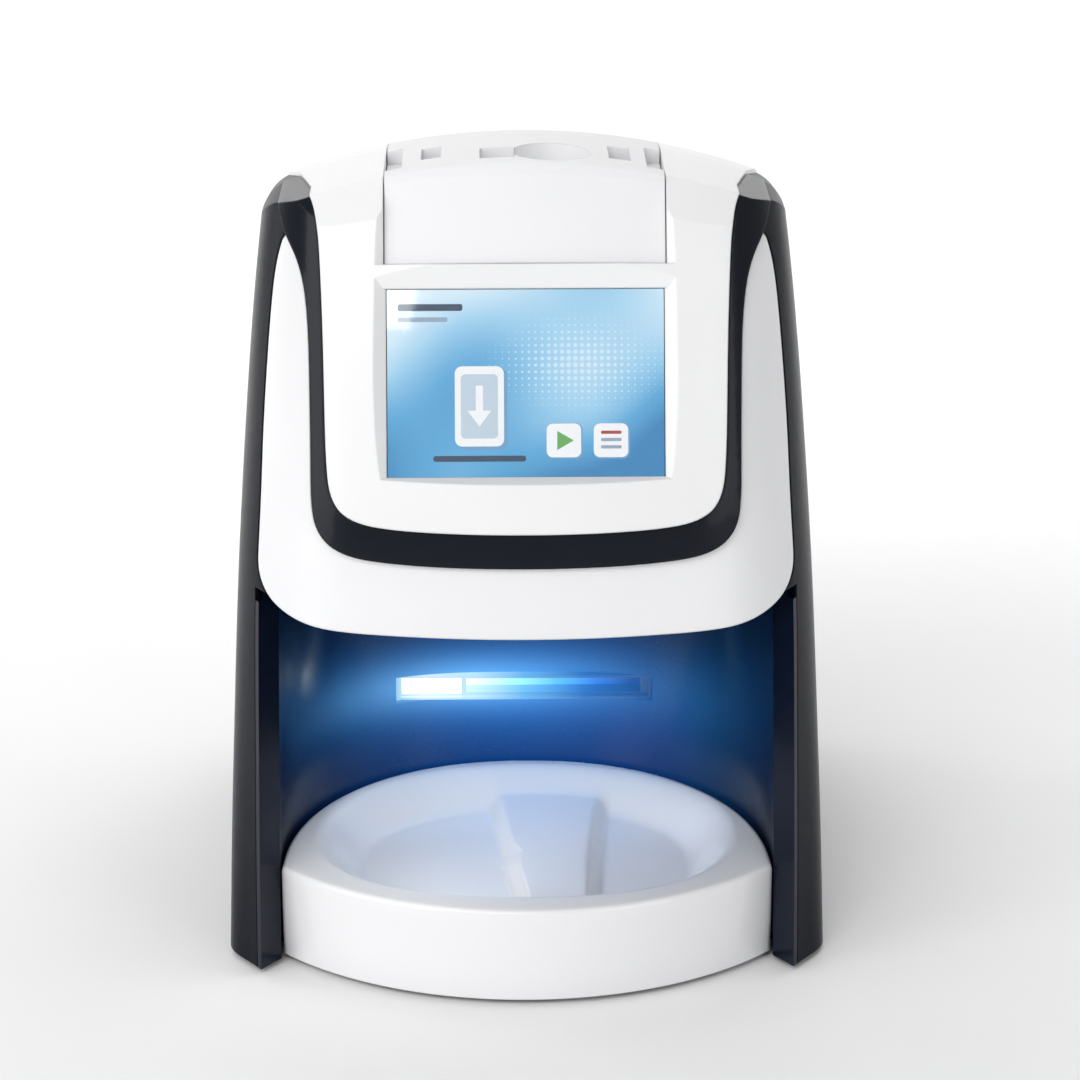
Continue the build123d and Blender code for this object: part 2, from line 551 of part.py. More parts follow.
light_shutter = rod_x(1.9, -20.6, 40.0, FLAP_Y, FLAP_Z) + block(-20.6, 40.0, FLAP_Y - 0.5, FLAP_Y + 0.5, 56.9, FLAP_Z)
light_shutter -= rod_x(1.05, -30, 50, FLAP_Y, FLAP_Z)

# ---------------------------------------------------------------------------
# Plate transport behind the slot
# ---------------------------------------------------------------------------
DRIVE_Z = PLATE_Z - ROLLER_R
PINCH_Z = PLATE_Z + 0.6 + PINCH_R
FRAME_L, FRAME_R = -26.0, 44.0      # outer face of the left, inner face of the right
FRAME_T = 2.0
MOTOR_A = math.radians(-58)
CENTRES = GEAR_MODULE * (GEAR_TEETH + PINION_TEETH) / 2 + 0.08
MOTOR_Y = FRONT_ROLLER_Y + CENTRES * math.cos(MOTOR_A)
MOTOR_Z = DRIVE_Z + CENTRES * math.sin(MOTOR_A)


def frame(x0, x1):
    f = block(x0, x1, 20, 98, 4.6, 122)
    f -= block(x0 - 1, x1 + 1, 40, 78, 80, 108)
    for y in (FRONT_ROLLER_Y, REAR_ROLLER_Y):
        f -= rod_x(3.6, x0 - 1, x1 + 1, y, DRIVE_Z)
        f -= rod_x(3.0, x0 - 1, x1 + 1, y, PINCH_Z)
    return f


transport_frame_left = frame(FRAME_L, FRAME_L + FRAME_T) + block(FRAME_L - 8, FRAME_L, 24, 94, 4.6, 6.6)
transport_frame_right = frame(FRAME_R, FRAME_R + FRAME_T) + block(FRAME_R + 2, FRAME_R + 9, 60, 94, 4.6, 6.6)
transport_frame_right -= rod_x(4.0, FRAME_R - 1, FRAME_R + 4, MOTOR_Y, MOTOR_Z)

plate_guide = block(FRAME_L + FRAME_T, FRAME_R, 17.4, 98, 56.0, 57.8)
plate_guide -= block(-18.5, 38.5, FRONT_ROLLER_Y - 6.5, FRONT_ROLLER_Y + 6.5, 50, 60)
plate_guide -= block(-18.5, 38.5, REAR_ROLLER_Y - 6.5, REAR_ROLLER_Y + 6.5, 50, 60)
plate_guide -= block(-20, 40, 57.5, 60.5, 50, 60)
plate_guide += block(FRAME_L + FRAME_T, -21.2, 40, 78, 57.8, 61.4)
plate_guide += block(41.0, FRAME_R, 40, 78, 57.8, 61.4)

bushes = []
for y in (FRONT_ROLLER_Y, REAR_ROLLER_Y):
    for x0, s in ((FRAME_L, -1), (FRAME_R + FRAME_T, 1)):
        xa, xb = (FRAME_L, FRAME_L + FRAME_T) if s < 0 else (FRAME_R, FRAME_R + FRAME_T)
        fa, fb = (xa - 1, xa) if s < 0 else (xb, xb + 1)
        bushes.append(rod_x(3.6, xa, xb, y, DRIVE_Z) + rod_x(4.7, fa, fb, y, DRIVE_Z) - rod_x(SHAFT_R + 0.05, xa - 3, xb + 3, y, DRIVE_Z))
        bushes.append(rod_x(3.0, xa, xb, y, PINCH_Z) + rod_x(4.0, fa, fb, y, PINCH_Z) - rod_x(PINCH_SHAFT_R + 0.05, xa - 3, xb + 3, y, PINCH_Z))
roller_bushes = ShapeList([b.solids()[0] for b in bushes])

front_drive_shaft = rod_x(SHAFT_R, -29, 61.5, FRONT_ROLLER_Y, DRIVE_Z)
rear_drive_shaft = rod_x(SHAFT_R, -29, 61.5, REAR_ROLLER_Y, DRIVE_Z)
front_drive_sleeve = rod_x(ROLLER_R, -17, 37, FRONT_ROLLER_Y, DRIVE_Z) - rod_x(SHAFT_R, -30, 62, FRONT_ROLLER_Y, DRIVE_Z)
rear_drive_sleeve = rod_x(ROLLER_R, -17, 37, REAR_ROLLER_Y, DRIVE_Z) - rod_x(SHAFT_R, -30, 62, REAR_ROLLER_Y, DRIVE_Z)
front_pinch_roller = rod_x(PINCH_R, -17, 37, FRONT_ROLLER_Y, PINCH_Z) + rod_x(PINCH_SHAFT_R, -28, 47.6, FRONT_ROLLER_Y, PINCH_Z)
rear_pinch_roller = rod_x(PINCH_R, -17, 37, REAR_ROLLER_Y, PINCH_Z) + rod_x(PINCH_SHAFT_R, -28, 47.6, REAR_ROLLER_Y, PINCH_Z)

# gears: a tooth of the pinion points at a space of the gear
gear_dir = math.degrees(MOTOR_A)
drive_gear = gear(GEAR_TEETH, GEAR_MODULE, SHAFT_R, 48.5, 53.5, FRONT_ROLLER_Y, DRIVE_Z, gear_dir + 180.0 / GEAR_TEETH, GEAR_BACKLASH / 2)
motor_pinion = gear(PINION_TEETH, GEAR_MODULE, 1.5, 48.5, 53.5, MOTOR_Y, MOTOR_Z, gear_dir + 180.0, GEAR_BACKLASH / 2)
for k in range(5):
    a = math.radians(72 * k + 20)
    drive_gear -= rod_x(3.0, 47, 55, FRONT_ROLLER_Y + 9 * math.cos(a), DRIVE_Z + 9 * math.sin(a))

front_pulley = rod_x(7.0, 55, 60, FRONT_ROLLER_Y, DRIVE_Z) - rod_x(SHAFT_R, 50, 64, FRONT_ROLLER_Y, DRIVE_Z)
rear_pulley = rod_x(7.0, 55, 60, REAR_ROLLER_Y, DRIVE_Z) - rod_x(SHAFT_R, 50, 64, REAR_ROLLER_Y, DRIVE_Z)


def stadium(r, x0, x1):
    return (rod_x(r, x0, x1, FRONT_ROLLER_Y, DRIVE_Z) + rod_x(r, x0, x1, REAR_ROLLER_Y, DRIVE_Z)
            + block(x0, x1, FRONT_ROLLER_Y, REAR_ROLLER_Y, DRIVE_Z - r, DRIVE_Z + r))


timing_belt = stadium(8.5, 55.3, 59.7) - stadium(7.3, 54, 61)

transport_motor = rod_x(11.0, 19, FRAME_R, MOTOR_Y, MOTOR_Z) - rod_x(1.56, 28, 60, MOTOR_Y, MOTOR_Z)
transport_motor += rod_x(3.9, FRAME_R, FRAME_R + 2.2, MOTOR_Y, MOTOR_Z) - rod_x(1.56, 40, 60, MOTOR_Y, MOTOR_Z)
transport_motor += rod_x(4.5, 17.2, 19, MOTOR_Y, MOTOR_Z)
motor_shaft = rod_x(1.5, 28.5, 54.2, MOTOR_Y, MOTOR_Z)

# ---------------------------------------------------------------------------
# Optics over the transport
# ---------------------------------------------------------------------------
SCAN_Y = 59.0
POLY_X, POLY_Y = 10.0, 86.4
optics_bench = block(-34, 54, 20, 99, 122, 125) - block(-22, 42, 55.5, 62.5, 120, 128)
optics_bench -= block(-2, 22, 68, 76, 120, 128)
polygon_motor = rod_z(12.5, 125, 129.4, POLY_X, POLY_Y) - rod_z(2.06, 124, 140, POLY_X, POLY_Y)
hexa = [Vector(POLY_X + 12 * math.cos(math.radians(60 * k + 30)), POLY_Y + 12 * math.sin(math.radians(60 * k + 30)), 130.4)
        for k in range(6)]
polygon_mirror = Solid.extrude(Face(Wire([Edge.make_line(hexa[k], hexa[(k + 1) % 6]) for k in range(6)])), Vector(0, 0, 5.2))
polygon_mirror += rod_z(2.0, 125.6, 138.6, POLY_X, POLY_Y)
laser_mount = block(-32, -14, POLY_Y - 7, POLY_Y + 7, 125, 134) - rod_x(5.0, -40, 0, POLY_Y, 133.0)
laser_module = rod_x(5.0, -33, -8, POLY_Y, 133.0)
scan_lens = block(-14, 34, 66.0, 72.5, 128, 139) & rod_z(60, 120, 145, 10, 126)
scan_lens += block(-12, 32, 67.0, 71.5, 125, 128)
fold = Box(66, 14, 2.6).moved(Location((10, SCAN_Y, 133.6), (45, 0, 0)))
fold_mirror = fold & block(-30, 50, 40, 80, 126, 145)
fold_mirror += block(-24, -20, SCAN_Y - 5.5, SCAN_Y - 2.6, 125, 133) + block(40, 44, SCAN_Y - 5.5, SCAN_Y - 2.6, 125, 133)
wire_lo = Wire.make_rect(60, 3.4, Plane(origin=(10, 64.6, 61.6)))
wire_mid = Wire.make_rect(34, 9, Plane(origin=(10, 67.2, 72.0)))
wire_hi = Wire.make_rect(17, 15, Plane(origin=(10, 69.5, 82.0)))
light_collector = Solid.make_loft([wire_lo, wire_mid, wire_hi], ruled=True)
photomultiplier = rod_z(8.6, 82.0, 112, 10, 69.5) + rod_z(10.5, 112, 116, 10, 69.5)
eraser_lamp = block(FRAME_L + 2, FRAME_R, 73.5, 82.5, 64.6, 66.0)
for i in range(8):
    eraser_lamp += block(-19 + 7.4 * i, -15.6 + 7.4 * i, 76.4, 79.8, 63.0, 64.6)

# ---------------------------------------------------------------------------
# Base, rear cover and connectors
# ---------------------------------------------------------------------------
plan = body(2.6, z0=-5.0) & block(-200, 200, -80.4, 200, 2.6, 4.6)
nose_room = Solid.extrude(Face(tray_wire(2.6, -TRAY_WALL - 1.2)), Vector(0, 0, 2.0)) & block(-200, 200, -200, -80.4, 0, 10)
base_plate = plan + nose_room
FEET = [(-64, -66), (64, -66), (-72, 92), (72, 92)]
rubber_feet = ShapeList([rod_z(6.5, 0, 2.6, x, y).solids()[0] for x, y in FEET])
SCREWS_B = [(-84, -30), (84, -30), (-82, 60), (82, 60)]
base_screws = []
for x, y in SCREWS_B:
    base_plate -= rod_z(1.6, 0, 10, x, y)
    base_screws.append((rod_z(2.8, 1.0, 2.6, x, y) + rod_z(1.5, 2.6, 10.5, x, y) - block(x - 2, x + 2, y - 0.4, y + 0.4, 0, 1.5)).solids()[0])
for x in (-30, 30):
    for y in (105,):
        base_plate -= block(x - 12, x + 12, y - 1.5, y + 1.5, 0, 10)
base_screws = ShapeList(base_screws)

rear_cover = shell & REAR_CUT
BAY_X, BAY_Z0, BAY_Z1 = 46.0, 12.0, 42.0
rear_cover -= block(-BAY_X, BAY_X, 90, 130, BAY_Z0, BAY_Z1)
bay = (block(-BAY_X - 2, BAY_X + 2, 107, 118, BAY_Z0 - 2, BAY_Z1 + 2) - block(-BAY_X, BAY_X, 109, 130, BAY_Z0, BAY_Z1)) & SKIN
rear_cover = rear_cover + bay
INLET_X, JACK_X, SWITCH_X = 28.0, 2.0, -28.0
BAY_MID = (BAY_Z0 + BAY_Z1) / 2
rear_cover -= rod_y(5.2, 100, 112, INLET_X, BAY_MID)
rear_cover -= block(JACK_X - 8.2, JACK_X + 8.2, 100, 112, BAY_MID - 7.2, BAY_MID + 7.2)
rear_cover -= block(SWITCH_X - 9.7, SWITCH_X + 9.7, 100, 112, BAY_MID - 6.7, BAY_MID + 6.7)
for i in range(9):
    z = 132 + 6.0 * i
    rear_cover -= block(-34, 34, 60, 130, z, z + 2.6)
SCREWS_R = [(-62, 20, 118), (62, 20, 118), (-58, 150, 118), (58, 150, 118)]
rear_screws = []


def rear_y(x, z):
    """y of the rear skin's outer face at x, z."""
    h = half_section(row_at(z))
    best = None
    for (x0, y0), (x1, y1) in zip(h, h[1:]):
        if y0 > 0 and min(x0, x1) <= abs(x) <= max(x0, x1) and x0 != x1:
            t = (abs(x) - x0) / (x1 - x0)
            y = y0 + t * (y1 - y0)
            best = y if best is None else max(best, y)
    return best


for x, z, _ in SCREWS_R:
    y = rear_y(x, z)
    rear_cover -= rod_y(3.2, y - 1.4, y + 6, x, z)
    rear_cover -= rod_y(1.7, y - 8, y + 6, x, z)
    s = rod_y(2.9, y - 1.4, y - 0.1, x, z) + rod_y(1.5, y - 8, y - 1.4, x, z) - block(x - 2.0, x + 2.0, y - 0.7, y + 1, z - 0.35, z + 0.35)
    rear_screws.append(s.solids()[0])
rear_screws = ShapeList(rear_screws)

power_inlet = rod_y(5.0, 105.4, 109.8, INLET_X, BAY_MID) + rod_y(6.2, 104.0, 106.8, INLET_X, BAY_MID)
power_inlet -= rod_y(2.9, 100 + 0.4, 112, INLET_X, BAY_MID) & block(0, 60, 105.2, 112, 0, 60)
power_inlet += rod_y(1.0, 105.0, 109.2, INLET_X, BAY_MID)
network_jack = block(JACK_X - 8.0, JACK_X + 8.0, 104.0, 109.8, BAY_MID - 7.0, BAY_MID + 7.0)
network_jack -= block(JACK_X - 5.9, JACK_X + 5.9, 105.2, 112, BAY_MID - 4.8, BAY_MID + 3.4)
network_jack -= block(JACK_X - 3.2, JACK_X + 3.2, 105.2, 112, BAY_MID + 3.3, BAY_MID + 5.2)
switch_housing = block(SWITCH_X - 9.5, SWITCH_X + 9.5, 101.0, 109.0, BAY_MID - 6.5, BAY_MID + 6.5)
switch_housing += block(SWITCH_X - 10.6, SWITCH_X + 10.6, 109.0, 110.4, BAY_MID - 7.6, BAY_MID + 7.6)
switch_housing -= block(SWITCH_X - 7.8, SWITCH_X + 7.8, 102.4, 114, BAY_MID - 5.0, BAY_MID + 5.0)
# rocker: pivots about Z inside the housing, pressed in at one end
ROCK_Y = 106.6
ROCK = math.radians(8)
prof = [(-7.0, 109.4), (0.0, 110.2), (7.0, 109.4), (6.6, 107.0), (2.0, 104.9), (-2.0, 104.9), (-6.6, 107.0)]
rk = Wire([Edge.make_line(Vector(SWITCH_X + prof[i][0], prof[i][1], BAY_MID - 4.7),
                          Vector(SWITCH_X + prof[(i + 1) % 7][0], prof[(i + 1) % 7][1], BAY_MID - 4.7)) for i in range(7)])
power_rocker = Solid.extrude(Face(rk), Vector(0, 0, 9.4))
power_rocker = power_rocker.moved(Location((SWITCH_X, ROCK_Y, 0)) * Location((0, 0, 0), (0, 0, -8)) * Location((-SWITCH_X, -ROCK_Y, 0)))

main_board = block(-62, 62, 99.4, 101.0, 8, 96)
main_board += block(-50, -30, 97.6, 99.4, 60, 80) + block(50, 60, 94, 99.4, 70, 90) + block(-20, -8, 98.2, 99.4, 82, 94)
main_board += block(20, 44, 98.2, 99.4, 66, 90)
main_board -= block(SWITCH_X - 10, SWITCH_X + 10, 90, 103, BAY_MID - 7, BAY_MID + 7)
main_board += block(JACK_X - 7, JACK_X + 7, 101.0, 104.0, BAY_MID - 6, BAY_MID + 6)
main_board += block(INLET_X - 5, INLET_X + 5, 101.0, 104.0, BAY_MID - 5, BAY_MID + 5)

NODES = {
    "head_shell": head_shell, "top_panel": top_panel, "touch_glass": touch_glass, "lcd_module": lcd_module,
    "display_board": display_board, "display_bracket": display_bracket, "trim_band": trim_band,
    "collar_shell": collar_shell, "side_panel_left": side_panel_left, "side_panel_right": side_panel_right,
    "cavity_liner": cavity_liner, "slot_bezel": slot_bezel, "slot_light_guide": slot_light_guide,
    "slot_lamp_board": led_board, "light_shutter": light_shutter, "shutter_pin": shutter_pin,
    "plate_tray": plate_tray, "base_plate": base_plate, "rubber_feet": rubber_feet, "base_screws": base_screws,
    "rear_cover": rear_cover, "rear_cover_screws": rear_screws, "power_inlet": power_inlet,
    "network_jack": network_jack, "switch_housing": switch_housing, "power_rocker": power_rocker,
    "main_board": main_board, "transport_frame_left": transport_frame_left,
    "transport_frame_right": transport_frame_right, "plate_guide": plate_guide, "roller_bushes": roller_bushes,
    "front_drive_shaft": front_drive_shaft, "front_drive_sleeve": front_drive_sleeve,
    "rear_drive_shaft": rear_drive_shaft, "rear_drive_sleeve": rear_drive_sleeve,
    "front_pinch_roller": front_pinch_roller, "rear_pinch_roller": rear_pinch_roller, "drive_gear": drive_gear,
    "motor_pinion": motor_pinion, "motor_shaft": motor_shaft, "transport_motor": transport_motor,
    "front_pulley": front_pulley, "rear_pulley": rear_pulley, "timing_belt": timing_belt,
    "optics_bench": optics_bench, "polygon_motor": polygon_motor, "polygon_mirror": polygon_mirror,
    "laser_mount": laser_mount, "laser_module": laser_module, "scan_lens": scan_lens, "fold_mirror": fold_mirror,
    "light_collector": light_collector, "photomultiplier": photomultiplier, "eraser_lamp": eraser_lamp,
}
for name, shape in NODES.items():
    solids = shape if isinstance(shape, ShapeList) else shape.solids()
    print(name, len(solids), round(sum(s.volume for s in solids), 1))
    save(shape if not isinstance(shape, ShapeList) else Compound(children=list(shape)), name)
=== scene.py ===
import json
import math

import bpy
import bmesh
from mathutils import Matrix, Vector


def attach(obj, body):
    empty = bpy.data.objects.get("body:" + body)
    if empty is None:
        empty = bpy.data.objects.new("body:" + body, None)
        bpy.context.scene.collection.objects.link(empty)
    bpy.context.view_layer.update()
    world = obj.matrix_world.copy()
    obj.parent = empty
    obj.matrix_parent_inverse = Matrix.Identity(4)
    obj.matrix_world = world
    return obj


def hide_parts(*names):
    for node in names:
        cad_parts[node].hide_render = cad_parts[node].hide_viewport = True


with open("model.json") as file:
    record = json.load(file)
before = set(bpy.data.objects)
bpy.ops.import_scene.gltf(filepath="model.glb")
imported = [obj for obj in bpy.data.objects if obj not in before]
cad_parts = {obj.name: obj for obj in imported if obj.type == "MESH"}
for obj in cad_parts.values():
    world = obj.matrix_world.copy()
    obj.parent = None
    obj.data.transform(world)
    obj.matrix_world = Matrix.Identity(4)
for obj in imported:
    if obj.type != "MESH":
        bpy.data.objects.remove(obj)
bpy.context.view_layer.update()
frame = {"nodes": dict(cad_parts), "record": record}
NODES = frame["nodes"]
MM = 0.001


# ---------------------------------------------------------------------------
# Materials: all procedural, in the object's own coordinates
# ---------------------------------------------------------------------------
def new_mat(name):
    m = bpy.data.materials.new(name)
    m.use_nodes = True
    nt = m.node_tree
    nt.nodes.clear()
    out = nt.nodes.new("ShaderNodeOutputMaterial")
    b = nt.nodes.new("ShaderNodeBsdfPrincipled")
    nt.links.new(b.outputs[0], out.inputs[0])
    return m, nt, b


def noise(nt, coord, scale, detail=4.0, rough=0.55):
    n = nt.nodes.new("ShaderNodeTexNoise")
    n.inputs["Scale"].default_value = scale
    n.inputs["Detail"].default_value = detail
    n.inputs["Roughness"].default_value = rough
    nt.links.new(coord, n.inputs["Vector"])
    return n.outputs["Fac"]


def ranged(nt, value, a, b, lo=0.3, hi=0.7):
    m = nt.nodes.new("ShaderNodeMapRange")
    m.inputs["From Min"].default_value = lo
    m.inputs["From Max"].default_value = hi
    m.inputs["To Min"].default_value = a
    m.inputs["To Max"].default_value = b
    nt.links.new(value, m.inputs["Value"])
    return m.outputs["Result"]


def mix(nt, fac, a, b):
    m = nt.nodes.new("ShaderNodeMix")
    m.data_type = "RGBA"
    for sock, v in ((m.inputs[6], a), (m.inputs[7], b)):
        if hasattr(v, "links") or hasattr(v, "is_linked"):
            nt.links.new(v, sock)
        else:
            sock.default_value = (v[0], v[1], v[2], 1)
    if isinstance(fac, (int, float)):
        m.inputs[0].default_value = fac
    else:
        nt.links.new(fac, m.inputs[0])
    return m.outputs[2]


def edge_mask(nt, radius, lo=0.02, hi=0.35):
    """1 on sharp edges, 0 on flats: the rounded normal against the true one."""
    bev = nt.nodes.new("ShaderNodeBevel")
    bev.samples = 4
    bev.inputs["Radius"].default_value = radius
    geo = nt.nodes.new("ShaderNodeNewGeometry")
    dot = nt.nodes.new("ShaderNodeVectorMath")
    dot.operation = "DOT_PRODUCT"
    nt.links.new(bev.outputs[0], dot.inputs[0])
    nt.links.new(geo.outputs["Normal"], dot.inputs[1])
    inv = nt.nodes.new("ShaderNodeMath")
    inv.operation = "SUBTRACT"
    inv.inputs[0].default_value = 1.0
    nt.links.new(dot.outputs["Value"], inv.inputs[1])
    return ranged(nt, inv.outputs[0], 0.0, 1.0, lo, hi)


def plastic(name, base, rough=0.35, var=0.03, grain=2600.0, bump=0.012, coat=0.0, coat_rough=0.08, spec=0.5,
            wear=0.0, wear_col=None, metallic=0.0, bevel=0.0004, dust=0.0):
    m, nt, b = new_mat(name)
    tc = nt.nodes.new("ShaderNodeTexCoord").outputs["Object"]
    big = noise(nt, tc, 22.0, 3.0)
    fine = noise(nt, tc, grain, 2.0)
    mid = noise(nt, tc, 520.0, 3.0, 0.5)
    dark = [c * (1 - var) for c in base]
    lite = [min(1, c * (1 + var)) for c in base]
    col = mix(nt, ranged(nt, big, 0, 1), dark, lite)
    col = mix(nt, ranged(nt, mid, 0, 0.35), col, [c * (1 - var * 1.5) for c in base])
    if wear > 0:
        em = edge_mask(nt, 0.0007)
        mul = nt.nodes.new("ShaderNodeMath")
        mul.operation = "MULTIPLY"
        nt.links.new(em, mul.inputs[0])
        nt.links.new(ranged(nt, noise(nt, tc, 90.0, 6.0, 0.7), 0.0, wear, 0.42, 0.62), mul.inputs[1])
        col = mix(nt, mul.outputs[0], col, wear_col or lite)
    if dust > 0:
        geo = nt.nodes.new("ShaderNodeNewGeometry")
        sep = nt.nodes.new("ShaderNodeSeparateXYZ")
        nt.links.new(geo.outputs["Normal"], sep.inputs[0])
        up = ranged(nt, sep.outputs["Z"], 0.0, dust, 0.6, 1.0)
        mul = nt.nodes.new("ShaderNodeMath")
        mul.operation = "MULTIPLY"
        nt.links.new(up, mul.inputs[0])
        nt.links.new(ranged(nt, noise(nt, tc, 400.0, 6.0, 0.7), 0.0, 1.0, 0.4, 0.7), mul.inputs[1])
        col = mix(nt, mul.outputs[0], col, (0.55, 0.54, 0.52))
    nt.links.new(col, b.inputs["Base Color"])
    r = ranged(nt, mid, rough * 0.94, rough * 1.07)
    nt.links.new(r, b.inputs["Roughness"])
    b.inputs["Metallic"].default_value = metallic
    b.inputs["Specular IOR Level"].default_value = spec
    b.inputs["Coat Weight"].default_value = coat
    b.inputs["Coat Roughness"].default_value = coat_rough
    bp = nt.nodes.new("ShaderNodeBump")
    bp.inputs["Strength"].default_value = 1.0
    bp.inputs["Distance"].default_value = bump * MM
    nt.links.new(fine, bp.inputs["Height"])
    if bevel > 0:
        bev = nt.nodes.new("ShaderNodeBevel")
        bev.samples = 4
        bev.inputs["Radius"].default_value = bevel
        nt.links.new(bev.outputs[0], bp.inputs["Normal"])
    nt.links.new(bp.outputs[0], b.inputs["Normal"])
    return m


def brushed(name, base, rough=0.3, axis=0, metallic=1.0):
    m, nt, b = new_mat(name)
    tc = nt.nodes.new("ShaderNodeTexCoord").outputs["Object"]
    mp = nt.nodes.new("ShaderNodeMapping")
    sc = [900.0, 900.0, 900.0]
    sc[axis] = 30.0
    mp.inputs["Scale"].default_value = sc
    nt.links.new(tc, mp.inputs["Vector"])
    streak = noise(nt, mp.outputs[0], 1.0, 3.0)
    big = noise(nt, tc, 60.0, 4.0)
    col = mix(nt, ranged(nt, streak, 0, 1), [c * 0.86 for c in base], [min(1, c * 1.08) for c in base])
    col = mix(nt, ranged(nt, big, 0, 0.3), col, [c * 0.8 for c in base])
    nt.links.new(col, b.inputs["Base Color"])
    nt.links.new(ranged(nt, streak, rough * 0.7, rough * 1.3), b.inputs["Roughness"])
    b.inputs["Metallic"].default_value = metallic
    bp = nt.nodes.new("ShaderNodeBump")
    bp.inputs["Distance"].default_value = 0.000012
    nt.links.new(streak, bp.inputs["Height"])
    nt.links.new(bp.outputs[0], b.inputs["Normal"])
    return m


def lit(name, base, glow, strength, rough=0.3):
    m, nt, b = new_mat(name)
    tc = nt.nodes.new("ShaderNodeTexCoord").outputs["Object"]
    n = noise(nt, tc, 300.0, 3.0)
    nt.links.new(mix(nt, ranged(nt, n, 0, 1), [c * 0.94 for c in base], base), b.inputs["Base Color"])
    nt.links.new(ranged(nt, n, rough * 0.8, rough * 1.2), b.inputs["Roughness"])
    b.inputs["Emission Color"].default_value = (*glow, 1)
    b.inputs["Emission Strength"].default_value = strength
    return m


def board(name):
    """Solder mask with copper traces under it and a grid of vias."""
    m, nt, b = new_mat(name)
    tc = nt.nodes.new("ShaderNodeTexCoord").outputs["Object"]
    w = nt.nodes.new("ShaderNodeTexWave")
    w.inputs["Scale"].default_value = 260.0
    w.inputs["Distortion"].default_value = 9.0
    w.inputs["Detail"].default_value = 1.0
    w.inputs["Detail Scale"].default_value = 0.6
    nt.links.new(tc, w.inputs["Vector"])
    v = nt.nodes.new("ShaderNodeTexVoronoi")
    v.inputs["Scale"].default_value = 420.0
    nt.links.new(tc, v.inputs["Vector"])
    trace = ranged(nt, w.outputs["Fac"], 0, 1, 0.55, 0.62)
    via = ranged(nt, v.outputs["Distance"], 1, 0, 0.14, 0.18)
    col = mix(nt, trace, (0.012, 0.085, 0.045), (0.03, 0.17, 0.09))
    col = mix(nt, via, col, (0.62, 0.52, 0.28))
    nt.links.new(col, b.inputs["Base Color"])
    nt.links.new(ranged(nt, w.outputs["Fac"], 0.28, 0.42), b.inputs["Roughness"])
    bp = nt.nodes.new("ShaderNodeBump")
    bp.inputs["Distance"].default_value = 0.00003
    nt.links.new(trace, bp.inputs["Height"])
    nt.links.new(bp.outputs[0], b.inputs["Normal"])
    return m


def math_node(nt, op, a, b=None):
    n = nt.nodes.new("ShaderNodeMath")
    n.operation = op
    for k, v in enumerate((a, b)):
        if v is None:
            continue
        if isinstance(v, (int, float)):
            n.inputs[k].default_value = v
        else:
            nt.links.new(v, n.inputs[k])
    return n.outputs[0]


def blob(nt, xyz, cx, cz, rx, rz):
    """A soft round patch in the front view: 1 at its centre, 0 far away."""
    dx = math_node(nt, "DIVIDE", math_node(nt, "SUBTRACT", xyz["X"], cx * MM), rx * MM)
    dz = math_node(nt, "DIVIDE", math_node(nt, "SUBTRACT", xyz["Z"], cz * MM), rz * MM)
    d2 = math_node(nt, "ADD", math_node(nt, "MULTIPLY", dx, dx), math_node(nt, "MULTIPLY", dz, dz))
    return math_node(nt, "POWER", 2.718, math_node(nt, "MULTIPLY", d2, -1.0))


def coords(nt):
    tc = nt.nodes.new("ShaderNodeTexCoord").outputs["Object"]
    sep = nt.nodes.new("ShaderNodeSeparateXYZ")
    nt.links.new(tc, sep.inputs[0])
    return tc, sep.outputs


def added(nt, a, b):
    n = nt.nodes.new("ShaderNodeMix")
    n.data_type = "RGBA"
    n.blend_type = "ADD"
    n.inputs[0].default_value = 1.0
    nt.links.new(a, n.inputs[6])
    nt.links.new(b, n.inputs[7])
    return n.outputs[2]


def bay(name):
    """Smoked blue wall of the bay, with painted glow round the slot: emission patches that stand in for the lamp's
    light.
    """
    m, nt, b = new_mat(name)
    tc, xyz = coords(nt)
    fine = noise(nt, tc, 2600, 2.0)
    mid = noise(nt, tc, 140.0, 5.0, 0.65)
    base = mix(nt, ranged(nt, mid, 0, 0.5), (0.0022, 0.0045, 0.013), (0.003, 0.007, 0.02))
    nt.links.new(base, b.inputs["Base Color"])
    nt.links.new(ranged(nt, mid, 0.20, 0.26), b.inputs["Roughness"])
    b.inputs["Specular IOR Level"].default_value = 0.25
    # painted glow: full at the back of the bay, gone towards its front
    back = ranged(nt, xyz["Y"], 0.0, 1.0, -0.060, -0.014)
    # painted light round the slot: a bright core, blue halos, a dim pool low down, and teal and violet casts on the
    # right
    core = blob(nt, xyz, -20.0, 61.0, 34.0, 8.0)
    near = blob(nt, xyz, -8.0, 61.5, 52.0, 12.5)
    halo = blob(nt, xyz, -4.0, 57.0, 54.0, 25.0)
    wide = blob(nt, xyz, 8.0, 46.0, 60.0, 38.0)
    low = blob(nt, xyz, 4.0, 22.0, 60.0, 28.0)
    teal_painted_glow = blob(nt, xyz, 62.0, 50.0, 17.0, 34.0)
    violet_painted_glow = blob(nt, xyz, 42.0, 44.0, 16.0, 16.0)
    col = mix(nt, core, (0.0, 0.0, 0.0), (0.10, 0.24, 0.36))
    for part, c in ((near, (0.035, 0.17, 0.40)), (halo, (0.004, 0.065, 0.26)), (wide, (0.0, 0.014, 0.085)),
                    (low, (0.0, 0.006, 0.034)), (teal_painted_glow, (0.0, 0.014, 0.022)), (violet_painted_glow, (0.004, 0.002, 0.020))):
        col = added(nt, col, mix(nt, part, (0.0, 0.0, 0.0), c))
    nt.links.new(mix(nt, back, (0.0, 0.0, 0.0), col), b.inputs["Emission Color"])
    b.inputs["Emission Strength"].default_value = 1.0
    bp = nt.nodes.new("ShaderNodeBump")
    bp.inputs["Distance"].default_value = 0.000003
    nt.links.new(fine, bp.inputs["Height"])
    nt.links.new(bp.outputs[0], b.inputs["Normal"])
    return m


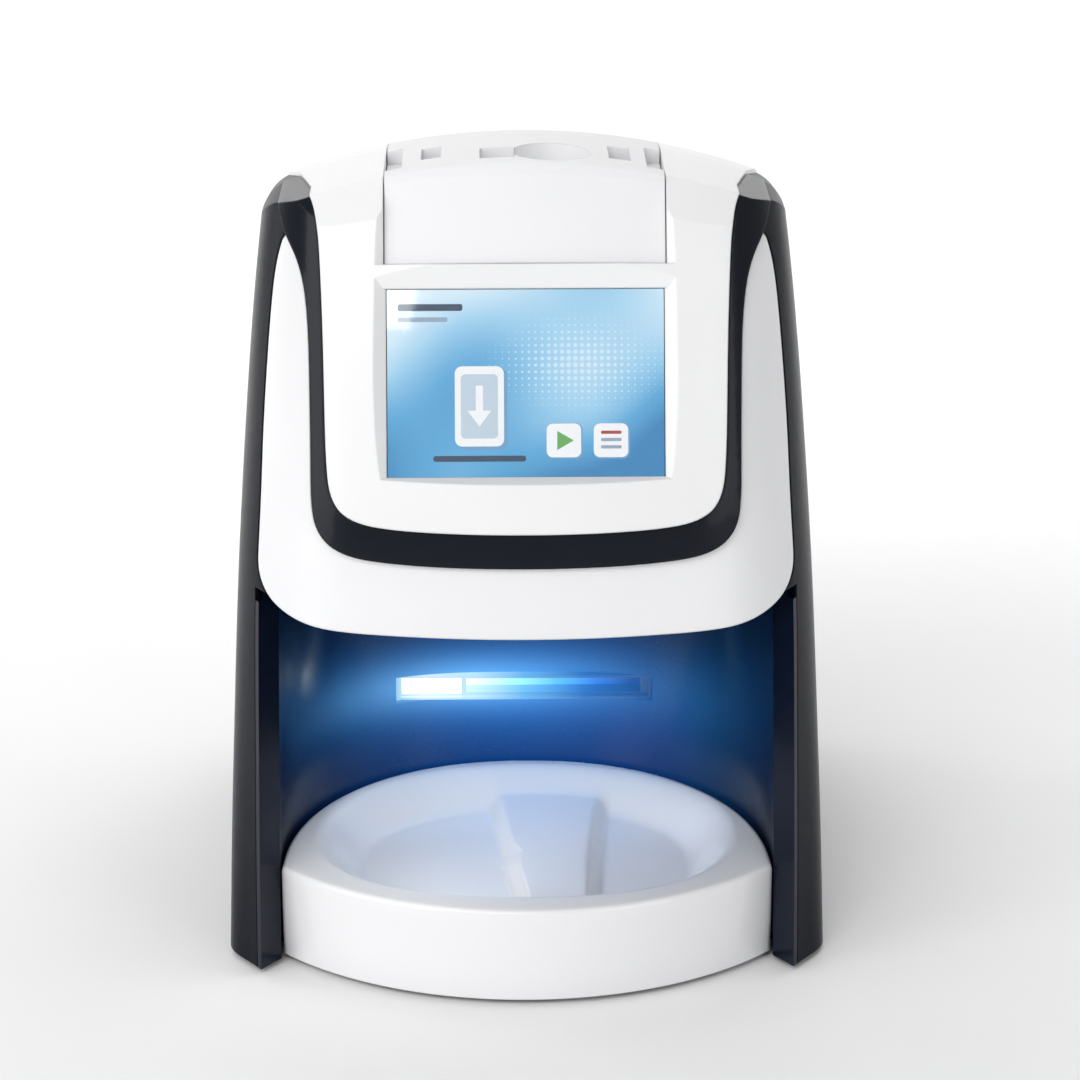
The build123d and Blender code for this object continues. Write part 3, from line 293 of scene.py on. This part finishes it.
def slot_frame(name):
    """Milky frame of the slot, carrying light along from the lamp's end."""
    m, nt, b = new_mat(name)
    tc, xyz = coords(nt)
    n = noise(nt, tc, 500.0, 3.0)
    nt.links.new(mix(nt, ranged(nt, n, 0, 1), (0.052, 0.083, 0.145), (0.055, 0.088, 0.152)), b.inputs["Base Color"])
    nt.links.new(ranged(nt, n, 0.28, 0.31), b.inputs["Roughness"])
    t = ranged(nt, xyz["X"], 0.0, 1.0, -0.046, 0.046)
    ramp = nt.nodes.new("ShaderNodeValToRGB")
    e = ramp.color_ramp.elements
    e[0].position, e[0].color = 0.0, (0.30, 0.62, 0.86, 1)
    e[1].position, e[1].color = 1.0, (0.006, 0.06, 0.20, 1)
    for pos, c in ((0.14, (0.72, 0.93, 1.0, 1)), (0.32, (0.55, 0.86, 1.0, 1)), (0.5, (0.14, 0.47, 0.86, 1)),
                   (0.72, (0.02, 0.16, 0.50, 1))):
        k = e.new(pos)
        k.color = c
    nt.links.new(t, ramp.inputs[0])
    nt.links.new(ramp.outputs[0], b.inputs["Emission Color"])
    b.inputs["Emission Strength"].default_value = 0.85
    return m


def flap_glow(name):
    """Milky flap behind the slit: bright at the lamp's end, blue at the other."""
    m, nt, b = new_mat(name)
    tc, xyz = coords(nt)
    n = noise(nt, tc, 420.0, 3.0)
    b.inputs["Base Color"].default_value = (0.12, 0.2, 0.3, 1)
    nt.links.new(mix(nt, ranged(nt, n, 0, 1), (0.10, 0.18, 0.28), (0.14, 0.22, 0.32)), b.inputs["Base Color"])
    nt.links.new(ranged(nt, n, 0.3, 0.42), b.inputs["Roughness"])
    t = ranged(nt, xyz["X"], 0.0, 1.0, -0.020, 0.036)
    ramp = nt.nodes.new("ShaderNodeValToRGB")
    e = ramp.color_ramp.elements
    e[0].position, e[0].color = 0.0, (0.80, 0.97, 1.0, 1)
    e[1].position, e[1].color = 1.0, (0.006, 0.05, 0.22, 1)
    for pos, c in ((0.28, (0.33, 0.80, 1.0, 1)), (0.55, (0.08, 0.42, 0.92, 1)), (0.8, (0.02, 0.15, 0.55, 1))):
        k = e.new(pos)
        k.color = c
    nt.links.new(t, ramp.inputs[0])
    nt.links.new(ramp.outputs[0], b.inputs["Emission Color"])
    b.inputs["Emission Strength"].default_value = 1.25
    return m


def clear(name, tint, rough=0.03, ior=1.49, coat=0.0):
    m, nt, b = new_mat(name)
    tc = nt.nodes.new("ShaderNodeTexCoord").outputs["Object"]
    n = noise(nt, tc, 120.0, 5.0)
    nt.links.new(mix(nt, ranged(nt, n, 0, 1), [c * 0.99 for c in tint], tint), b.inputs["Base Color"])
    nt.links.new(ranged(nt, n, rough * 0.6, rough * 1.6), b.inputs["Roughness"])
    b.inputs["Transmission Weight"].default_value = 1.0
    b.inputs["IOR"].default_value = ior
    return m


M = {
    "head_white": plastic("head_white", (0.83, 0.83, 0.835), 0.31, 0.010, 3200, 0.004, coat=0.10, coat_rough=0.12, spec=0.4, bevel=0.0009),
    "panel_white": plastic("panel_white", (0.82, 0.82, 0.83), 0.48, 0.010, 2400, 0.010, spec=0.3, bevel=0.0007),
    "trim_dark": plastic("trim_dark", (0.0050, 0.0068, 0.0125), 0.22, 0.10, 2600, 0.003, coat=0.12, coat_rough=0.05, spec=0.18,
                         bevel=0.0012),
    "collar_grey": plastic("collar_grey", (0.81, 0.81, 0.82), 0.34, 0.010, 3000, 0.004, coat=0.15, coat_rough=0.15, bevel=0.0009),
    "side_graphite": plastic("side_graphite", (0.0062, 0.0072, 0.0125), 0.30, 0.12, 2600, 0.005, coat=0.02, coat_rough=0.12, spec=0.06,
                             dust=0.02, bevel=0.0008),
    "bay_navy": bay("bay_navy"),
    "slot_grey": slot_frame("slot_grey"),
    "lamp_window": lit("lamp_window", (0.85, 0.95, 1.0), (0.80, 0.95, 1.0), 2.2),
    "tray_white": plastic("tray_white", (0.83, 0.83, 0.84), 0.32, 0.006, 3400, 0.0015, coat=0.50, coat_rough=0.06, bevel=0.0),
    "screen_glass": clear("screen_glass", (0.98, 0.99, 1.0), 0.02),
    "display_lit": plastic("display_lit", (0.02, 0.02, 0.025), 0.4, 0.05),
    "inner_black": plastic("inner_black", (0.014, 0.014, 0.016), 0.5, 0.10, 1800, 0.03, wear=0.2, wear_col=(0.06, 0.06, 0.062)),
    "board_green": board("board_green"),
    "sheet_steel": brushed("sheet_steel", (0.56, 0.57, 0.58), 0.34, 1),
    "rubber_black": plastic("rubber_black", (0.02, 0.02, 0.02), 0.72, 0.15, 1500, 0.05, spec=0.3),
    "roller_rubber": plastic("roller_rubber", (0.05, 0.055, 0.065), 0.66, 0.12, 1600, 0.03, spec=0.35),
    "shaft_steel": brushed("shaft_steel", (0.66, 0.67, 0.69), 0.22, 0),
    "bush_brass": brushed("bush_brass", (0.72, 0.52, 0.24), 0.26, 0),
    "gear_nylon": plastic("gear_nylon", (0.76, 0.75, 0.69), 0.44, 0.03, 1800, 0.01, wear=0.15, wear_col=(0.6, 0.58, 0.5)),
    "belt_black": plastic("belt_black", (0.018, 0.018, 0.02), 0.7, 0.15, 1500, 0.04, spec=0.3),
    "bench_alloy": brushed("bench_alloy", (0.70, 0.71, 0.73), 0.36, 0),
    "mirror_bright": brushed("mirror_bright", (0.92, 0.93, 0.95), 0.03, 2),
    "lens_glass": clear("lens_glass", (0.86, 0.93, 0.97), 0.02, 1.52),
    "fastener_steel": brushed("fastener_steel", (0.60, 0.61, 0.63), 0.3, 2),
}

M["flap_lit"] = flap_glow("flap_lit")
SLOT_OF = {}
for node in frame["record"]["subparts"]:
    ob = NODES[node["node"]]
    ob.data.materials.clear()
    ob.data.materials.append(M[node["material_slot"]])
    SLOT_OF[node["node"]] = node["material_slot"]
NODES["light_shutter"].data.materials[0] = M["flap_lit"]


# ---------------------------------------------------------------------------
# Mesh helpers, in millimetres
# ---------------------------------------------------------------------------
def mesh_object(name, verts, faces, material, body, node=None, smooth=True, angle=40.0):
    me = bpy.data.meshes.new(name)
    me.from_pydata([(x * MM, y * MM, z * MM) for x, y, z in verts], [], faces)
    me.validate()
    bm = bmesh.new()
    bm.from_mesh(me)
    bmesh.ops.remove_doubles(bm, verts=bm.verts, dist=1e-7)
    bmesh.ops.recalc_face_normals(bm, faces=bm.faces)
    for f in bm.faces:
        f.smooth = smooth
    lim = math.radians(angle)
    for e in bm.edges:
        if len(e.link_faces) == 2 and e.calc_face_angle(0.0) > lim:
            e.smooth = False
    bm.to_mesh(me)
    bm.free()
    ob = bpy.data.objects.new(name, me)
    bpy.context.collection.objects.link(ob)
    me.materials.append(material)
    if node:
        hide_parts(node)
    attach(ob, body)
    return ob


def rings_to_faces(counts_rows, closed=True):
    """Quads between successive rings of the same length."""
    faces = []
    n = counts_rows[0][1]
    for (a, _), (b, _) in zip(counts_rows, counts_rows[1:]):
        for i in range(n if closed else n - 1):
            j = (i + 1) % n
            faces.append((a + i, a + j, b + j, b + i))
    return faces


# ---------------------------------------------------------------------------
# Collection tray: one soft dish with two hollows and a raised middle
# ---------------------------------------------------------------------------
TX, TY, TF, TB, TP = 77.3, -84.6, -119.5, 4.8, 2.15


def outer_xy(grow):
    a, b, f = TX + grow, TB + grow - TY, TF - grow
    h = TY - f
    r = (a * a + h * h) / (2 * h)
    pts = []
    n = 120
    for i in range(n + 1):
        q = math.pi * i / n
        c, s = math.cos(q), math.sin(q)
        pts.append((math.copysign(abs(c) ** (2 / TP), c) * a, TY + abs(s) ** (2 / TP) * b))
    m = 80
    q0 = math.asin(a / r)
    for i in range(1, m):
        q = -q0 + 2 * q0 * i / m
        pts.append((r * math.sin(q), f + r - r * math.cos(q)))
    return pts


def dish_xy(k, theta):
    c, s = math.cos(theta), math.sin(theta)
    pw, b = (2.1, 58.6) if s >= 0 else (2.3, 51.2)
    return (math.copysign(abs(c) ** (2 / pw), c) * 67.6 * k, -58.0 + math.copysign(abs(s) ** (2 / pw), s) * b * k)


def smooth01(t):
    t = max(0.0, min(1.0, t))
    return t * t * (3 - 2 * t)


def ridge_x(y, right):
    ys = [-122, -90, -55, -20, 14]
    xs = [20.5, 21.0, 22.5, 25.5, 30.5] if right else [0.5, -2.0, -6.0, -9.5, -12.5]
    for i in range(4):
        if y <= ys[i + 1] or i == 3:
            t = (y - ys[i]) / (ys[i + 1] - ys[i])
            t = max(0.0, min(1.0, t))
            return xs[i] + (xs[i + 1] - xs[i]) * t
    return xs[-1]


def tray_z(x, y, d):
    side = 32.0 - 11.4 * smooth01((d + 0.4) / 15.5)
    mid = 32.0 - 6.6 * smooth01((d + 0.4) / 11.5)
    w = smooth01((x - ridge_x(y, False) + 2.4) / 5.4) * smooth01((ridge_x(y, True) - x + 2.4) / 5.4)
    return side + (mid - side) * w


def build_tray():
    verts, rows = [], []
    outer = outer_xy(0.0)
    cx, cy = 0.0, -58.0

    def ray_len(poly, ang):
        dx, dy = math.cos(ang), math.sin(ang)
        best = None
        for i in range(len(poly)):
            x0, y0 = poly[i]
            x1, y1 = poly[(i + 1) % len(poly)]
            ex, ey = x1 - x0, y1 - y0
            det = dx * -ey + dy * ex
            if abs(det) < 1e-9:
                continue
            t = ((x0 - cx) * -ey + (y0 - cy) * ex) / det
            u = (dx * (y0 - cy) - dy * (x0 - cx)) / det
            if t > 0 and -1e-6 <= u <= 1 + 1e-6:
                best = t if best is None else max(best, t)
        return best
    n = 288
    corner = math.atan2(TY - cy, TX - cx)
    angs = [2 * math.pi * i / n for i in range(n)]
    for c in (corner, math.pi - corner):
        c = c % (2 * math.pi)
        k = min(range(n), key=lambda i: abs(angs[i] - c))
        angs[k] = c
    dish_poly = [dish_xy(1.0, 2 * math.pi * i / 720) for i in range(720)]
    dl = [ray_len(dish_poly, a) for a in angs]
    ol = [ray_len(outer, a) for a in angs]
    inl = [ray_len(outer_xy(-3.0), a) for a in angs]
    ks = [0.02, 0.06] + [0.12 + 0.02 * i for i in range(24)] + [0.60 + 0.0125 * i for i in range(32)] + [1.0]
    for k in ks:
        rows.append((len(verts), n))
        for a, L in zip(angs, dl):
            x, y = cx + math.cos(a) * L * k, cy + math.sin(a) * L * k
            # distance to the dish's edge, measured roughly square to it
            d = (1 - k) * L * 0.93
            verts.append((x, y, tray_z(x, y, d)))
    for t in (0.08, 0.25, 0.5, 0.75):
        rows.append((len(verts), n))
        for a, L, O in zip(angs, dl, ol):
            q = L + (O - 1.7 - L) * t
            verts.append((cx + math.cos(a) * q, cy + math.sin(a) * q, 32.0))
    for back, dz in ((1.7, 0.0), (1.05, 0.10), (0.5, 0.40), (0.15, 0.90), (0.0, 1.6), (0.0, 4.0), (0.0, 10.0), (0.0, 20.0)):
        rows.append((len(verts), n))
        for a, O in zip(angs, ol):
            verts.append((cx + math.cos(a) * (O - back), cy + math.sin(a) * (O - back), 32.0 - dz))

    def low(y):
        return 2.0 if y < -83.0 else 5.3
    for back, up in ((0.0, 0.6), (0.18, 0.15), (0.6, 0.0), (2.6, 0.0)):
        rows.append((len(verts), n))
        for a, O in zip(angs, ol):
            x, y = cx + math.cos(a) * (O - back), cy + math.sin(a) * (O - back)
            verts.append((x, y, low(y) + up))
    for z in (None, 16.0):
        rows.append((len(verts), n))
        for a, O in zip(angs, inl):
            x, y = cx + math.cos(a) * O, cy + math.sin(a) * O
            verts.append((x, y, (low(y) + 0.4) if z is None else z))
    faces = rings_to_faces(rows)
    a0 = rows[0][0]
    verts.append((cx, cy, tray_z(cx, cy, 60)))
    c = len(verts) - 1
    faces += [(c, a0 + (i + 1) % n, a0 + i) for i in range(n)]
    b0 = rows[-1][0]
    verts.append((cx, cy, 16.0))
    c = len(verts) - 1
    faces += [(c, b0 + i, b0 + (i + 1) % n) for i in range(n)]
    return mesh_object("tray_dish", verts, faces, M["tray_white"], "tray", "plate_tray", angle=60)


build_tray()

# ---------------------------------------------------------------------------
# Picture on the display: plain shapes, no lettering
# ---------------------------------------------------------------------------
TILT = math.radians(19.5)


def on_screen(u, v, w):
    return (u, -84.0 + math.sin(TILT) * v - math.cos(TILT) * w, 190.0 + math.cos(TILT) * v + math.sin(TILT) * w)


def plate(name, outline, w0, w1, material):
    """A thin flat tile with that outline (u, v), seen through the glass."""
    n = len(outline)
    verts = [on_screen(u, v, w1) for u, v in outline] + [on_screen(u, v, w0) for u, v in outline]
    faces = [tuple(range(n)), tuple(range(2 * n - 1, n - 1, -1))]
    faces += [(i, (i + 1) % n, n + (i + 1) % n, n + i) for i in range(n)]
    return mesh_object(name, verts, faces, material, "casing", None, smooth=False)


def rounded(u0, u1, v0, v1, r, seg=6):
    pts = []
    for cu, cv, a0 in ((u1 - r, v1 - r, 0), (u0 + r, v1 - r, 90), (u0 + r, v0 + r, 180), (u1 - r, v0 + r, 270)):
        for k in range(seg + 1):
            a = math.radians(a0 + 90 * k / seg)
            pts.append((cu + r * math.cos(a), cv + r * math.sin(a)))
    return pts


def glow_flat(name, color, strength=1.0):
    m, nt, b = new_mat(name)
    tc, xyz = coords(nt)
    n = noise(nt, tc, 700.0, 2.0)
    b.inputs["Base Color"].default_value = (0.01, 0.01, 0.012, 1)
    b.inputs["Roughness"].default_value = 0.4
    nt.links.new(mix(nt, ranged(nt, n, 0, 1), [c * 0.97 for c in color], color), b.inputs["Emission Color"])
    b.inputs["Emission Strength"].default_value = strength
    return m


def screen_picture(name):
    """Pale sky-blue gradient with two soft diagonal waves and a field of dots."""
    m, nt, b = new_mat(name)
    tc, xyz = coords(nt)
    b.inputs["Base Color"].default_value = (0.01, 0.01, 0.012, 1)
    b.inputs["Roughness"].default_value = 0.4
    u = math_node(nt, "MULTIPLY", xyz["X"], 1000.0)
    v = math_node(nt, "MULTIPLY", math_node(nt, "SUBTRACT", xyz["Z"], 0.190), 1000.0 / math.cos(TILT))
    wave = math_node(nt, "SINE", math_node(nt, "ADD", math_node(nt, "MULTIPLY", u, 0.062), math_node(nt, "MULTIPLY", v, -0.075)))
    wave = math_node(nt, "MULTIPLY", wave, 0.20)
    wave2 = math_node(nt, "SINE", math_node(nt, "ADD", math_node(nt, "MULTIPLY", u, 0.11), math_node(nt, "MULTIPLY", v, 0.06)))
    wave = math_node(nt, "ADD", wave, math_node(nt, "MULTIPLY", wave2, 0.07))
    t = math_node(nt, "ADD", math_node(nt, "MULTIPLY", v, 0.0135), 0.40)
    t = math_node(nt, "ADD", t, math_node(nt, "MULTIPLY", u, -0.0030))
    t = math_node(nt, "ADD", t, wave)
    ramp = nt.nodes.new("ShaderNodeValToRGB")
    e = ramp.color_ramp.elements
    e[0].position, e[0].color = 0.0, (0.035, 0.235, 0.50, 1)
    e[1].position, e[1].color = 1.0, (0.80, 0.92, 0.99, 1)
    for pos, c in ((0.25, (0.10, 0.40, 0.70, 1)), (0.5, (0.33, 0.63, 0.86, 1)), (0.75, (0.62, 0.82, 0.95, 1))):
        k = e.new(pos)
        k.color = c
    nt.links.new(t, ramp.inputs[0])
    # dots on a square grid, larger towards the middle of their field
    fu = math_node(nt, "SUBTRACT", math_node(nt, "FRACT", math_node(nt, "MULTIPLY", u, 0.5)), 0.5)
    fv = math_node(nt, "SUBTRACT", math_node(nt, "FRACT", math_node(nt, "MULTIPLY", v, 0.5)), 0.5)
    rr = math_node(nt, "SQRT", math_node(nt, "ADD", math_node(nt, "MULTIPLY", fu, fu), math_node(nt, "MULTIPLY", fv, fv)))
    du = math_node(nt, "DIVIDE", math_node(nt, "SUBTRACT", u, 16.0), 21.0)
    dv = math_node(nt, "DIVIDE", math_node(nt, "SUBTRACT", v, 6.0), 12.0)
    fall = math_node(nt, "POWER", 2.718, math_node(nt, "MULTIPLY", math_node(nt, "ADD", math_node(nt, "MULTIPLY", du, du),
                                                                     math_node(nt, "MULTIPLY", dv, dv)), -1.0))
    rad = math_node(nt, "MULTIPLY", fall, 0.36)
    dot = math_node(nt, "LESS_THAN", rr, rad)
    dot = math_node(nt, "MULTIPLY", dot, 0.5)
    nt.links.new(mix(nt, dot, ramp.outputs[0], (0.86, 0.95, 1.0)), b.inputs["Emission Color"])
    b.inputs["Emission Strength"].default_value = 1.0
    return m


PIC = screen_picture("screen_picture")
plate("screen_image", rounded(-41.75, 41.75, -28.2, 28.3, 0.3), -1.29, -1.275, PIC)
WHITE = glow_flat("icon_white", (0.93, 0.95, 0.97))
INK = glow_flat("icon_ink", (0.035, 0.07, 0.12))
SOFT = glow_flat("icon_soft", (0.30, 0.40, 0.50))
GREEN = glow_flat("icon_green", (0.14, 0.42, 0.10))
RED = glow_flat("icon_red", (0.46, 0.06, 0.04))
SHADE = glow_flat("icon_shade", (0.16, 0.36, 0.58))
plate("bar_title", rounded(-38.5, -19.0, 21.9, 24.0, 0.6), -1.27, -1.262, INK)
plate("bar_subtitle", rounded(-38.5, -23.5, 18.6, 20.0, 0.5), -1.27, -1.262, SOFT)
for i, u in enumerate((11.4, 25.6)):
    plate("tile_shade_%d" % i, rounded(u - 5.3, u + 5.7, -22.9, -12.1, 2.0), -1.27, -1.264, SHADE)
    plate("tile_%d" % i, rounded(u - 5.2, u + 5.2, -22.4, -12.2, 1.9), -1.26, -1.252, WHITE)


def ring(cu, cv, r0, r1, seg=20, teeth=0):
    out = []
    for k in range(seg * (2 if teeth else 1)):
        a = 2 * math.pi * k / (seg * (2 if teeth else 1))
        r = r1 if (not teeth or (k // 2) % 2 == 0) else r1 * 0.8
        out.append((cu + r * math.cos(a), cv + r * math.sin(a)))
    return out


plate("icon_play", [(9.4, -14.4), (9.4, -20.2), (14.4, -17.3)], -1.25, -1.242, GREEN)
for k in range(3):
    plate("icon_line_%d" % k, rounded(22.6, 28.8, -15.4 - 2.2 * k, -14.4 - 2.2 * k, 0.4), -1.25, -1.242, RED if k == 0 else SOFT)
# an image plate going into a slot, drawn as plain outlines
plate("pic_plate_shade", rounded(-20.6, -5.6, -19.9, 4.6, 2.2), -1.27, -1.265, SHADE)
plate("pic_plate", rounded(-21.4, -6.6, -19.0, 5.2, 2.2), -1.262, -1.256, WHITE)
plate("pic_plate_core", rounded(-19.6, -8.4, -16.6, 2.8, 1.4), -1.254, -1.248, glow_flat("icon_core", (0.55, 0.66, 0.76)))
plate("pic_slot", rounded(-28.0, 0.0, -23.6, -21.8, 0.8), -1.27, -1.262, INK)
plate("pic_arrow_stem", rounded(-15.1, -12.9, -8.6, -0.6, 0.3), -1.246, -1.24, WHITE)
plate("pic_arrow_head", [(-17.6, -8.2), (-10.4, -8.2), (-14.0, -13.0)], -1.246, -1.24, WHITE)


# ---------------------------------------------------------------------------
# Camera, floor and lights
# ---------------------------------------------------------------------------
def set_camera():
    el, az, roll = math.radians(19.0), math.radians(-0.5), math.radians(-0.15)
    target = Vector((0.0, -0.075, 0.128))
    dist = 1.100
    back = Vector((-math.sin(-az) * math.cos(el), -math.cos(az) * math.cos(el), math.sin(el)))
    pos = target + back * dist
    f = (target - pos).normalized()
    r = f.cross(Vector((0, 0, 1))).normalized()
    u = r.cross(f)
    r2 = r * math.cos(roll) + u * math.sin(roll)
    u2 = -r * math.sin(roll) + u * math.cos(roll)
    rot = Matrix((r2, u2, -f)).transposed().to_4x4()
    cam = bpy.data.objects.new("camera", bpy.data.cameras.new("camera"))
    cam.matrix_world = Matrix.Translation(pos) @ rot
    cam.data.sensor_width = 36.0
    cam.data.lens = 3557.46 / 1080 * 36.0
    cam.data.shift_x = 14 / 1080
    cam.data.shift_y = 28 / 1080
    cam.data.clip_start = 0.05
    bpy.context.collection.objects.link(cam)
    bpy.context.scene.camera = cam


def area(name, loc, aim, size, power, color=(1, 1, 1), size_y=None):
    l = bpy.data.lights.new(name, "AREA")
    l.energy = power
    l.color = color
    l.size = size
    if size_y:
        l.shape = "RECTANGLE"
        l.size_y = size_y
    ob = bpy.data.objects.new(name, l)
    ob.location = loc
    d = (Vector(aim) - Vector(loc)).normalized()
    ob.rotation_euler = d.to_track_quat("-Z", "Y").to_euler()
    bpy.context.collection.objects.link(ob)
    return ob


def floor():
    me = bpy.data.meshes.new("floor")
    bm = bmesh.new()
    n = 24
    prof = [(-9.0, 0.0), (1.6, 0.0)] + [(1.6 + 1.2 * math.sin(a), 1.2 - 1.2 * math.cos(a)) for a in
                                        [math.pi / 2 * k / n for k in range(1, n + 1)]] + [(2.8, 4.0)]
    rows = []
    for x in (-9.0, 9.0):
        rows.append([bm.verts.new((x, y, z)) for y, z in prof])
    for i in range(len(prof) - 1):
        fc = bm.faces.new((rows[0][i], rows[1][i], rows[1][i + 1], rows[0][i + 1]))
        fc.smooth = True
    bm.normal_update()
    bm.to_mesh(me)
    bm.free()
    ob = bpy.data.objects.new("floor", me)
    bpy.context.collection.objects.link(ob)
    m, nt, b = new_mat("floor_paper")
    tc = nt.nodes.new("ShaderNodeTexCoord").outputs["Object"]
    n1 = noise(nt, tc, 6.0, 4.0)
    nt.links.new(mix(nt, ranged(nt, n1, 0, 1), (0.90, 0.90, 0.90), (0.93, 0.93, 0.93)), b.inputs["Base Color"])
    b.inputs["Roughness"].default_value = 0.8
    b.inputs["Specular IOR Level"].default_value = 0.2
    ob.data.materials.append(m)


set_camera()
floor()
area("key", (-1.55, -1.30, 0.85), (0, -0.05, 0.13), 1.6, 20, (1, 1, 1), 1.7)
area("front", (-0.35, -1.30, 1.15), (0, -0.07, 0.06), 0.7, 6.5, (1, 1, 1), 0.7)
area("fill", (1.2, -1.5, 0.7), (0, -0.05, 0.12), 0.9, 5.5, (0.97, 0.98, 1.0), 1.2)
area("top", (0.0, 0.15, 1.5), (0, -0.02, 0.2), 1.2, 0.8)
area("rim_left", (-1.1, 0.55, 0.5), (-0.08, -0.02, 0.14), 0.25, 1.5, (1, 1, 1), 1.0)
area("rim_right", (1.1, 0.45, 0.5), (0.08, -0.02, 0.14), 0.2, 0.4, (1, 1, 1), 1.0)
area("backdrop", (0.0, 1.0, 1.9), (0.0, 2.5, 0.5), 2.0, 38)
glow = area("slot_glow", (0.0, -0.010, 0.070), (0.0, -0.060, 0.020), 0.075, 0.018, (0.36, 0.60, 1.0), 0.012)
glow.visible_camera = False
glow.visible_glossy = False
dish = area("dish_fill", (-0.035, -0.078, 0.090), (-0.012, -0.088, 0.02), 0.05, 0.020, (1, 1, 1), 0.03)
dish.visible_camera = False
dish.visible_glossy = False
w = bpy.data.worlds.new("world")
bpy.context.scene.world = w
w.use_nodes = True
w.node_tree.nodes["Background"].inputs[0].default_value = (1, 1, 1, 1)
w.node_tree.nodes["Background"].inputs[1].default_value = 0.36
bpy.context.scene.view_settings.view_transform = "Standard"
